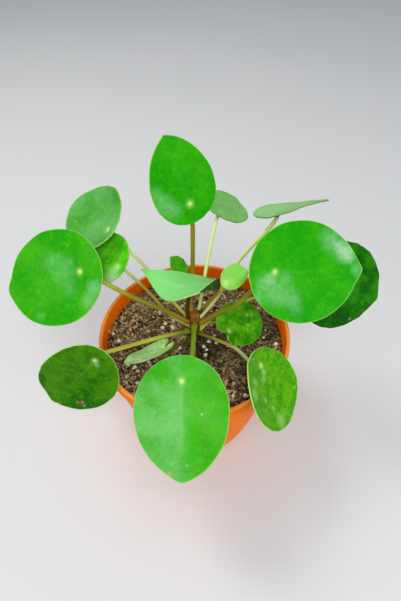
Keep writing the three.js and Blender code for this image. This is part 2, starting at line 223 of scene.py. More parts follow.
def orange_plastic():
    """Glossy plastic with a painted highlight along its lip, fine scuffs, and soil dust above the soil
    inside.
    """
    look = Finish("orange_plastic")
    clouding = look.noise(35.0, 2.0)
    colour = look.mix(clouding, ORANGE, LIGHT_ORANGE)
    height = look.add("SeparateXYZ", "Z", {"Vector": look.place})
    flat = look.add("VectorMath", 0, {0: look.place, 1: (1.0, 1.0, 0.0)}, operation="MULTIPLY")
    reach = look.add("VectorMath", "Value", {0: flat}, operation="LENGTH")
    inside = look.math(
        "MULTIPLY", look.band(reach, 60.2 * MM, 59.8 * MM), look.band(height, 86.0 * MM, 88.0 * MM))
    near_soil = look.math("MULTIPLY", inside, look.band(height, 97.0 * MM, 90.5 * MM))
    crumbs = look.band(look.noise(900.0, 4.0), 0.54, 0.6)
    dirt = look.math("MULTIPLY", near_soil, crumbs)
    colour = look.mix(look.math("MULTIPLY", dirt, 0.85), colour, SOIL_DUST)
    # Painted highlight: the top of the lip is lightened in place of the rim's gloss.
    lip_highlight = look.band(height, 98.5 * MM, 99.9 * MM)
    colour = look.mix(look.math("MULTIPLY", lip_highlight, 0.5), colour, LIP_HIGHLIGHT_ORANGE)
    scuffs = look.band(look.noise(160.0, 6.0, roughness=0.7), 0.58, 0.7)
    colour = look.mix(look.math("MULTIPLY", scuffs, 0.05), colour, SCUFFED_ORANGE)
    roughness = look.band(look.noise(260.0, 5.0), 0.2, 0.8, 0.26, 0.4)
    roughness = look.math("ADD", roughness, look.math("MULTIPLY", dirt, 0.45))
    fine = look.bump(look.noise(700.0, 3.0), 0.00003, 0.5)
    uneven = look.bump(look.noise(45.0, 1.0), 0.0004, 0.35, fine)
    return look.finish(Base_Color=colour, Roughness=roughness, Normal=uneven, Specular_IOR_Level=0.01,
                       Subsurface_Weight=0.4, Subsurface_Radius=(1.0, 0.25, 0.03), Subsurface_Scale=0.006)


pot.data.materials.append(orange_plastic())
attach(pot, "root")
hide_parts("pot")


# Soil
# Potting mix: dark brown peat, rough and crumbly, with coconut fibre, bark chips and cream perlite.
# The bed fills the pot to a finger's width below the rim; loose bits lie half sunk in its surface.

SOIL_LEVEL = 89.5
SOIL_STEP = 0.55
EDGE_GAP = 0.1
SOIL_EDGE = wall_radius(SOIL_LEVEL) - WALL - EDGE_GAP
LOWER_LEVELS = (70.0, 45.0, 20.0, 5.0)
LOWER_GAP = 0.2


def ground(x, y):
    """Height of the soil's surface in millimetres: gentle lumps, clods, then crumbs."""
    reach = math.hypot(x, y) / RIM_RADIUS
    lumps = math.sin(x * 0.21 + 1.3) * math.cos(y * 0.17 - 0.4) + 0.6 * math.sin(x * 0.43 - y * 0.37)
    gentle = SOIL_LEVEL + 0.7 * lumps * min(1.0, reach * 2) + 1.2 * reach ** 2
    clods = noise.noise(Vector((x * 0.22, y * 0.22, 3.1)))
    crumbs = noise.fractal(Vector((x * 0.75, y * 0.75, 8.4)), 1.0, 2.1, 3)
    return gentle + 1.4 * clods + 0.75 * crumbs - 0.45


def soil_bed():
    """A round grid with the lumpy surface, whose edge is drawn down along the wall and closed below."""
    deselect()
    cells = int(2 * SOIL_EDGE / SOIL_STEP)
    bpy.ops.mesh.primitive_grid_add(
        x_subdivisions=cells, y_subdivisions=cells, size=2 * SOIL_EDGE * MM, location=(0, 0, 0))
    bed = bpy.context.object
    bpy.ops.object.mode_set(mode="EDIT")
    bpy.ops.mesh.select_all(action="DESELECT")
    shape = bmesh.from_edit_mesh(bed.data)
    for vertex in shape.verts:
        vertex.select = math.hypot(vertex.co.x, vertex.co.y) > (SOIL_EDGE + 0.2 * SOIL_STEP) * MM
    shape.select_flush_mode()
    bmesh.update_edit_mesh(bed.data)
    bpy.ops.mesh.delete(type="VERT")
    shape = bmesh.from_edit_mesh(bed.data)
    for vertex in shape.verts:
        x, y = vertex.co.x / MM, vertex.co.y / MM
        if vertex.is_boundary:
            out = SOIL_EDGE / math.hypot(x, y)
            x, y = x * out, y * out
        vertex.co = Vector((x, y, ground(x, y))) * MM
    for edge in shape.edges:
        edge.select = edge.is_boundary
    bmesh.update_edit_mesh(bed.data)
    radius = SOIL_EDGE
    for level in LOWER_LEVELS:
        bpy.ops.mesh.extrude_region_move(TRANSFORM_OT_translate={"value": (0, 0, 0)})
        next_radius = wall_radius(level) - WALL - LOWER_GAP
        share = next_radius / radius
        bpy.ops.transform.resize(value=(share, share, 1), center_override=(0, 0, 0))
        shape = bmesh.from_edit_mesh(bed.data)
        for vertex in shape.verts:
            if vertex.select:
                vertex.co.z = level * MM
        bmesh.update_edit_mesh(bed.data)
        radius = next_radius
    bpy.ops.mesh.edge_face_add()
    bpy.ops.mesh.select_all(action="SELECT")
    bpy.ops.mesh.normals_make_consistent(inside=False)
    bpy.ops.object.mode_set(mode="OBJECT")
    return bed


soil = soil_bed()
settle(soil, "soil_bed", smooth=60)

# Darker patches on the soil: the place, how far each spreads, and how much it darkens.
DARK_PATCHES = [((9, -8, 90), 21, 0.8), ((54, 6, 90), 20, 0.65), ((-42, -26, 90), 14, 0.3)]
PATCH_PEAT = rgb(0.012, 0.006, 0.003)
DARK_PEAT = rgb(0.035, 0.019, 0.009)
DRY_PEAT = rgb(0.38, 0.21, 0.09)
STRAWY_PEAT = rgb(0.80, 0.52, 0.25)
# Near-black painted shade for the hollows in the peat.
PEAT_SHADE = rgb(0.008, 0.005, 0.003)


def darken_in_patches(look, colour):
    """Darker round the stem, by the wall, and in small patches."""
    darkening = look.band(look.noise(75.0, 3.0), 0.52, 0.7, 0.0, 0.25)
    fray = look.math("MULTIPLY", look.noise(90.0, 3.0), 0.016)
    for place, reach, strength in DARK_PATCHES:
        middle = [part * MM for part in place]
        apart = look.add("VectorMath", "Value", {0: look.place, 1: middle}, operation="DISTANCE")
        ragged = look.math("ADD", apart, fray)
        near = look.band(ragged, 1.4 * reach * MM, 0.6 * reach * MM, 0.0, strength)
        darkening = look.math("MAXIMUM", darkening, near)
    return look.mix(darkening, colour, PATCH_PEAT)


def peat():
    """Matte peat, with dry straw-coloured grains on it and painted shade in the hollows between them."""
    look = Finish("peat")
    broad = look.noise(90.0, 4.0)
    grain = look.noise(700.0, 6.0, roughness=0.7)
    colour = look.mix(look.band(broad, 0.3, 0.7), DARK_PEAT, DRY_PEAT)
    colour = look.mix(look.band(grain, 0.5, 0.64), colour, STRAWY_PEAT)
    # Painted shade: near-black patches stand in for the shadow in the hollows between grains.
    dark = look.band(look.noise(420.0, 4.0, roughness=0.65), 0.54, 0.38)
    colour = look.mix(look.math("MULTIPLY", dark, 0.9), colour, PEAT_SHADE)
    colour = darken_in_patches(look, colour)
    relief = look.bump(grain, 0.0018, 1.0)
    relief = look.bump(look.noise(1900.0, 3.0), 0.0004, 0.8, relief)
    return look.finish(Base_Color=colour, Roughness=0.93, Normal=relief, Specular_IOR_Level=0.2)


soil.data.materials.append(peat())
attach(soil, "root")
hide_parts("soil")

# The loose bits are modelled in millimetres and scaled when they are laid on the soil.


def rough_grain(seed, stretch, roughness):
    """One loose bit about a millimetre in radius: a small ball pushed in and out by noise."""
    deselect()
    bpy.ops.mesh.primitive_ico_sphere_add(subdivisions=2, radius=1.0, location=(0, 0, 0))
    grain = bpy.context.object
    for vertex in grain.data.vertices:
        push = 1 + roughness * noise.noise(vertex.co * 1.6 + Vector((seed * 7.3, seed * 1.9, 0)))
        vertex.co = Vector([side * share for side, share in zip(vertex.co, stretch)]) * push
    return grain


def fibre(seed, length):
    """One strand of coconut fibre: a thin four-sided rod, bowed and kinked along its run."""
    deselect()
    bpy.ops.mesh.primitive_cylinder_add(vertices=4, radius=0.3, depth=length, rotation=(0, math.pi / 2, 0))
    strand = bpy.context.object
    bpy.ops.object.transform_apply(location=True, rotation=True, scale=True)
    bpy.ops.object.mode_set(mode="EDIT")
    bpy.ops.mesh.select_all(action="DESELECT")
    shape = bmesh.from_edit_mesh(strand.data)
    for edge in shape.edges:
        edge.select = abs(edge.verts[0].co.x - edge.verts[1].co.x) > 0.5 * length
    bmesh.update_edit_mesh(strand.data)
    bpy.ops.mesh.subdivide(number_cuts=6)
    bpy.ops.object.mode_set(mode="OBJECT")
    draw = random.Random(seed)
    bow, kink, phase = draw.uniform(-0.5, 0.5), draw.uniform(0.2, 0.9), draw.uniform(0, 6)
    for vertex in strand.data.vertices:
        run = vertex.co.x / (0.5 * length)
        taper = 1 - 0.6 * run * run
        vertex.co.y = vertex.co.y * taper + bow * length * run * run + kink * math.sin(3 * run + phase)
        vertex.co.z = vertex.co.z * taper + 0.12 * length * (1 - run * run) * abs(bow)
    return strand


def chip(seed, size):
    """One bark chip: a flat splinter with uneven broken ends."""
    deselect()
    bpy.ops.mesh.primitive_cube_add(size=1.0, location=(0, 0, 0))
    piece = bpy.context.object
    piece.scale = size
    bpy.ops.object.transform_apply(location=True, rotation=True, scale=True)
    bpy.ops.object.mode_set(mode="EDIT")
    bpy.ops.mesh.select_all(action="SELECT")
    bpy.ops.mesh.subdivide(number_cuts=2)
    bpy.ops.mesh.bevel(offset=0.06, segments=1)
    bpy.ops.object.mode_set(mode="OBJECT")
    for vertex in piece.data.vertices:
        vertex.co += 0.25 * noise.noise_vector(vertex.co * 1.3 + Vector((seed * 5.1, 0, 0)))
    return piece


def joined(parts):
    """The parts as one object."""
    deselect()
    for part in parts:
        part.select_set(True)
    bpy.context.view_layer.objects.active = parts[0]
    bpy.ops.object.join()
    return bpy.context.object


# The stem's middle, the bare ring round it, and the bare edge by the wall.
STEM = Vector((0.0, 3.0, 0.0))
BARE_RING = 5.5
BARE_EDGE = 0.8


def strew(name, kinds, count, sizes, material, seed, lift, lean=0.5, clump=None, spots=()):
    """Copies of the kinds laid over the soil at seeded places and turns, joined into one piece.

    The first copies lie at the spots; with clump, the others gather in patches of that fineness.
    """
    draw = random.Random(seed)
    copies = []
    while len(copies) < count:
        reach = (SOIL_EDGE - BARE_EDGE) * math.sqrt(draw.random())
        bearing = 2 * math.pi * draw.random()
        x, y = reach * math.cos(bearing), reach * math.sin(bearing)
        if len(copies) < len(spots):
            x, y = spots[len(copies)]
        elif math.hypot(x - STEM.x, y - STEM.y) < BARE_RING:
            continue
        elif clump and noise.noise(Vector((x * clump, y * clump, seed * 0.7))) < draw.uniform(-0.35, 0.25):
            continue
        size = draw.uniform(*sizes)
        kind = kinds[draw.randrange(len(kinds))]
        copy = kind.copy()
        copy.data = kind.data.copy()
        turn = Matrix.Rotation(2 * math.pi * draw.random(), 4, "Z")
        turn = turn @ Matrix.Rotation(draw.gauss(0, lean), 4, "X")
        turn = turn @ Matrix.Rotation(draw.gauss(0, 0.35 * lean), 4, "Y")
        place = Matrix.Translation(Vector((x, y, ground(x, y) + lift * size)) * MM)
        copy.data.transform(place @ turn @ Matrix.Scale(size * MM, 4))
        bpy.context.scene.collection.objects.link(copy)
        copies.append(copy)
    for kind in kinds:
        bpy.data.objects.remove(kind)
    heap = joined(copies)
    settle(heap, name, smooth=45)
    heap.data.materials.clear()
    heap.data.materials.append(material)
    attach(heap, "root")


def shaded(colour, share):
    """The same colour with its three parts scaled."""
    return rgb(*(share * part for part in colour[:3]))


def bit_finish(name, dark, light, spread, grain, roughness, patchy=False):
    """Each bit takes its own shade from a broad noise; a finer one mottles it."""
    look = Finish(name)
    shade = look.band(look.noise(spread, 1.0), 0.3, 0.7)
    mottle = look.noise(grain, 4.0)
    colour = look.mix(shade, dark, light)
    colour = look.mix(look.band(mottle, 0.55, 0.8), colour, shaded(dark, 0.35))
    if patchy:
        colour = darken_in_patches(look, colour)
    relief = look.bump(mottle, 0.0003, 0.7)
    return look.finish(Base_Color=colour, Roughness=roughness, Normal=relief, Specular_IOR_Level=0.2)


crumb_finish = bit_finish(
    "peat_crumbs", rgb(0.016, 0.008, 0.004), rgb(0.84, 0.55, 0.27),
    spread=380.0, grain=1500.0, roughness=0.95, patchy=True)
fibre_finish = bit_finish(
    "coir_strands", rgb(0.30, 0.18, 0.08), rgb(0.92, 0.76, 0.44),
    spread=300.0, grain=2200.0, roughness=0.85, patchy=True)
bark_finish = bit_finish(
    "bark_chips", rgb(0.03, 0.014, 0.008), rgb(0.32, 0.17, 0.09),
    spread=300.0, grain=1200.0, roughness=0.85, patchy=True)
perlite_finish = bit_finish(
    "perlite", rgb(0.93, 0.85, 0.64), rgb(1.0, 0.98, 0.86),
    spread=350.0, grain=1500.0, roughness=0.8)

crumb_kinds = [rough_grain(i, (1, 0.75 + 0.1 * i, 0.65), roughness=0.8) for i in range(4)]
strew(
    "soil_crumbs", crumb_kinds, count=1700, sizes=(0.35, 1.3), material=crumb_finish,
    seed=11, lift=0.1)
fibre_kinds = [fibre(i, 5.0 + 2.0 * i) for i in range(5)]
strew(
    "soil_fibres", fibre_kinds, count=1100, sizes=(0.55, 1.15), material=fibre_finish,
    seed=12, lift=0.45, lean=0.3, clump=0.045)
chip_kinds = [chip(i, (3.2 - 0.5 * i, 1.3 + 0.2 * i, 0.5)) for i in range(3)]
strew(
    "bark_chips", chip_kinds, count=150, sizes=(0.5, 1.1), material=bark_finish,
    seed=13, lift=0.3, lean=0.35)
perlite_kinds = [rough_grain(i + 9, (1, 0.8, 0.7), roughness=1.1) for i in range(4)]
# The perlite bits that the photo shows, as (x, y); the rest are strewn.
perlite_seen = [
    (-20.9, 12.5), (-22.5, 8.0), (-15.7, 8.9), (-19.4, 31.5), (-55.4, 1.8), (-51.1, -2.7), (5.8, -7.5),
    (7.9, -10.2), (14.5, -4.1), (21.0, -3.0), (27.1, -7.0), (46.8, 0.3), (9.5, -3.1), (24.6, -34.8),
    (-35.9, -26.5), (-38.4, -23.8), (22.9, -6.5), (-42.4, -30.1), (-28.6, -22.0), (47.7, -16.7)]
strew(
    "perlite_bits", perlite_kinds, count=46, sizes=(0.9, 1.7), material=perlite_finish,
    seed=14, lift=0.55, spots=perlite_seen)


# Stem
# One short woody stem stands in the soil. Old leaf scars ring it, and the stalks leave it at several
# heights round a brown bud, most of them with a small papery scale at the root.

STEM_ROOT = 80.0
STEM_TOP = 112.6
STEM_FOOT_RADIUS = 3.6
STEM_RADIUS = 3.45
STEM_SIDES = 24
STEM_RINGS = 40


def stem_rings():
    """Its outline as (radius, height) pairs: it swells and narrows, with a ridge at each leaf scar."""
    steps = []
    for i in range(1, STEM_RINGS + 1):
        share = i / STEM_RINGS
        height = STEM_ROOT + (STEM_TOP - STEM_ROOT) * share
        scar = 0.35 * max(0.0, math.sin(share * 34)) ** 3
        radius = STEM_RADIUS + 0.35 * math.sin(share * 9) - 0.5 * max(0, share - 0.55) + scar
        steps.append((radius, height))
    steps += [(2.6, STEM_TOP + 0.4), (1.6, STEM_TOP + 0.8)]
    return steps


stem = rings_from_circle(STEM_SIDES, (STEM_FOOT_RADIUS, STEM_ROOT), stem_rings())
for vertex in stem.data.vertices:
    swell = 1 + 0.1 * noise.noise(vertex.co / MM * 0.35)
    vertex.co.x *= swell
    vertex.co.y *= swell
stem.data.transform(Matrix.Translation(STEM * MM))
settle(stem, "woody_stem", smooth=50)

BARK_DARK = rgb(0.04, 0.018, 0.008)
BARK_LIGHT = rgb(0.11, 0.06, 0.02)
BARK_FURROWS = rgb(0.03, 0.015, 0.008)
BUD_BROWN = rgb(0.33, 0.13, 0.013)


def bark():
    """Matte bark in upright streaks, warmer at the bud."""
    look = Finish("stem_bark")
    streaks = look.add("Mapping", 0, {"Vector": look.place, "Scale": (1.0, 1.0, 0.25)})
    grain = look.noise(900.0, 5.0, streaks)
    patch = look.noise(180.0, 3.0)
    height = look.add("SeparateXYZ", "Z", {"Vector": look.place})
    crown = look.band(height, 102.0 * MM, 109.0 * MM)
    colour = look.mix(look.band(patch, 0.35, 0.7), BARK_DARK, BARK_LIGHT)
    colour = look.mix(crown, colour, BUD_BROWN)
    colour = look.mix(look.band(grain, 0.5, 0.75), colour, BARK_FURROWS)
    relief = look.bump(grain, 0.0006, 0.8)
    return look.finish(Base_Color=colour, Roughness=0.7, Normal=relief, Specular_IOR_Level=0.25)


stem.data.materials.append(bark())
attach(stem, "root")
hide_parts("stem")

# The papery scales: their size before each is scaled, and how far from the stem's middle they stand.
SCALE_WIDTH = 2.6
SCALE_HEIGHT = 3.4
SCALE_THICKNESS = 0.14
SCALE_REACH = 3.5


def papery_scale():
    """One thin pointed shell, hollow towards the stem, that leans outward at its point."""
    deselect()
    bpy.ops.mesh.primitive_grid_add(x_subdivisions=6, y_subdivisions=8, size=1.0, location=(0, 0, 0))
    scale = bpy.context.object
    for vertex in scale.data.vertices:
        side, rise = 2 * vertex.co.x, vertex.co.y + 0.5
        breadth = SCALE_WIDTH * (1 - rise ** 1.7) * (0.75 + 0.5 * rise)
        outward = -0.35 * SCALE_WIDTH * side * side + 0.5 * rise * rise
        vertex.co = Vector((0.5 * breadth * side, outward, SCALE_HEIGHT * rise))
    thick = scale.modifiers.new("thickness", "SOLIDIFY")
    thick.thickness = SCALE_THICKNESS
    only(scale)
    bpy.ops.object.modifier_apply(modifier="thickness")
    return scale


# Each scale's bearing round the stem, its height and its size.
SCALE_ROOTS = [
    (-88, 104.5, 1.3), (-150, 103.0, 1.0), (-35, 104.0, 1.0), (20, 99.0, 0.9),
    (70, 105.5, 0.9), (125, 107.0, 1.0), (175, 108.0, 0.9), (-120, 108.5, 0.8),
    (-60, 109.0, 0.8), (-10, 108.0, 0.8), (-100, 96.0, 0.9), (-20, 95.5, 0.9)]
shells = []
for bearing, height, size in SCALE_ROOTS:
    shell = papery_scale()
    turn = Matrix.Rotation(math.radians(bearing - 90), 4, "Z")
    out = Vector((math.cos(math.radians(bearing)), math.sin(math.radians(bearing)), 0)) * SCALE_REACH
    place = Matrix.Translation((STEM + out + Vector((0, 0, height))) * MM)
    shell.data.transform(place @ turn @ Matrix.Scale(size * MM, 4))
    shells.append(shell)
scales = joined(shells)
settle(scales, "stem_scales", smooth=60)
scale_paper = bit_finish(
    "scale_paper", rgb(0.26, 0.12, 0.03), rgb(0.50, 0.36, 0.16),
    spread=260.0, grain=1400.0, roughness=0.7)
scales.data.materials.append(scale_paper)
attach(scales, "root")


# Leaves
# Sixteen shield leaves: a flat round blade a little under a millimetre thick, carried by a smooth round
# stalk that joins it from beneath, off its middle, under a pale spot. The stalks are green to brown.

# The colours of the stalks.
MOSS = rgb(0.11, 0.13, 0.006)
OLIVE = rgb(0.20, 0.33, 0.008)
FERN = rgb(0.28, 0.42, 0.03)
SAP = rgb(0.40, 0.50, 0.03)
LEMON = rgb(0.62, 0.74, 0.08)
CREAM = rgb(0.80, 0.90, 0.34)
STRAW = rgb(0.58, 0.54, 0.07)
HONEY = rgb(0.48, 0.46, 0.03)
AMBER = rgb(0.46, 0.31, 0.03)
UMBER = rgb(0.27, 0.27, 0.01)
BRONZE = rgb(0.33, 0.24, 0.012)
GOLD = rgb(0.40, 0.22, 0.018)
BROWN = rgb(0.09, 0.035, 0.004)
# The colours of patches on the upper faces: painted sheen, highlights and a shadow, and the leaves' own
# marks.
# Painted sheen: pale patches that stand in for reflections off the waxy skin.
PAINTED_SHEEN = rgb(0.36, 0.74, 0.38)
# Whitish green: frosty specks and the pale midrib, and painted sheen on the mid-left leaf.
FROST_AND_SHEEN = rgb(0.42, 0.74, 0.26)
# Near-white: chalky specks, and painted highlights on the right and mid-left leaves.
CHALK_AND_HIGHLIGHT = rgb(0.66, 0.88, 0.62)
LIME = rgb(0.24, 0.66, 0.02)
SPRING = rgb(0.15, 0.58, 0.006)
# Plain green, laid where the painted sheen is left off.
UNSHEENED_GREEN = rgb(0.03, 0.47, 0.002)
# A painted shadow, cast on the far right leaf by the right leaf.
PAINTED_SHADOW = rgb(0.001, 0.035, 0.0003)
SCAR = rgb(0.13, 0.08, 0.012)
TAN = rgb(0.42, 0.36, 0.22)
NICK = rgb(0.45, 0.42, 0.14)
# The colours that all blades share.
RIB_GREEN = rgb(0.20, 0.58, 0.04)
EDGE_GREEN = rgb(0.50, 0.80, 0.22)
EYE_GREEN = rgb(0.62, 0.90, 0.24)
LIME_DUST = rgb(0.52, 0.80, 0.32)
UNDER_DEEP = rgb(0.06, 0.27, 0.02)
UNDER_PALE = rgb(0.11, 0.36, 0.045)
UNDER_RIB = rgb(0.26, 0.48, 0.10)

# What the table says of each leaf, in millimetres and degrees.
# spot, root and via: where its stalk meets the blade, leaves the stem, and passes on the way.
# faces and tilt: the bearing that the upper face looks to, and its lean from level. swing: the turn of the
# tip from the steepest way down. thickness: the stalk's. knee: how far under the blade the stalk bends.
# deep and fresh: the two greens of the upper face; on the palest leaves they carry a painted grazing sheen.
# mottle: how finely they mingle. grain: how strongly the skin is mottled close up. bloom: how strong the
# painted sheen is, a pale layer that stands in for the reflection off the waxy skin. rubbed: the side of the
# midrib, as a sign, on which the painted sheen is mostly left off. midrib: how pale the midrib is. chalk: how
# dense the lime specks are.
# eye: how pale the spot over the stalk is. marks: patches at (along, across) from the spot, with radius,
# colour and strength. edge: the margin's colour. tip: how sharp the tip is. blunt: how much it is rounded
# off. crinkle: how strongly the margin is scalloped. notched: the margin is notched near the spot.
# turned: the bearings between which the margin is turned up, and how far. under: the share of the underside's
# colour that stays; below 1 it is darkened as painted shade. stalk: its colours at root, middle and blade.
# late: how far up the stalk the last of them begins. blush: how brown the stalk's upper side is.
USUAL = dict(
    knee=3.5, mottle=38.0, grain=1.0, sheen_strength=0.0, midrib=0.025, eye=1.0, marks=(), edge=EDGE_GREEN,
    tip=0.25, blunt=0.0, crinkle=0.0, notched=False, under=1.0, late=0.6, blush=0.12)
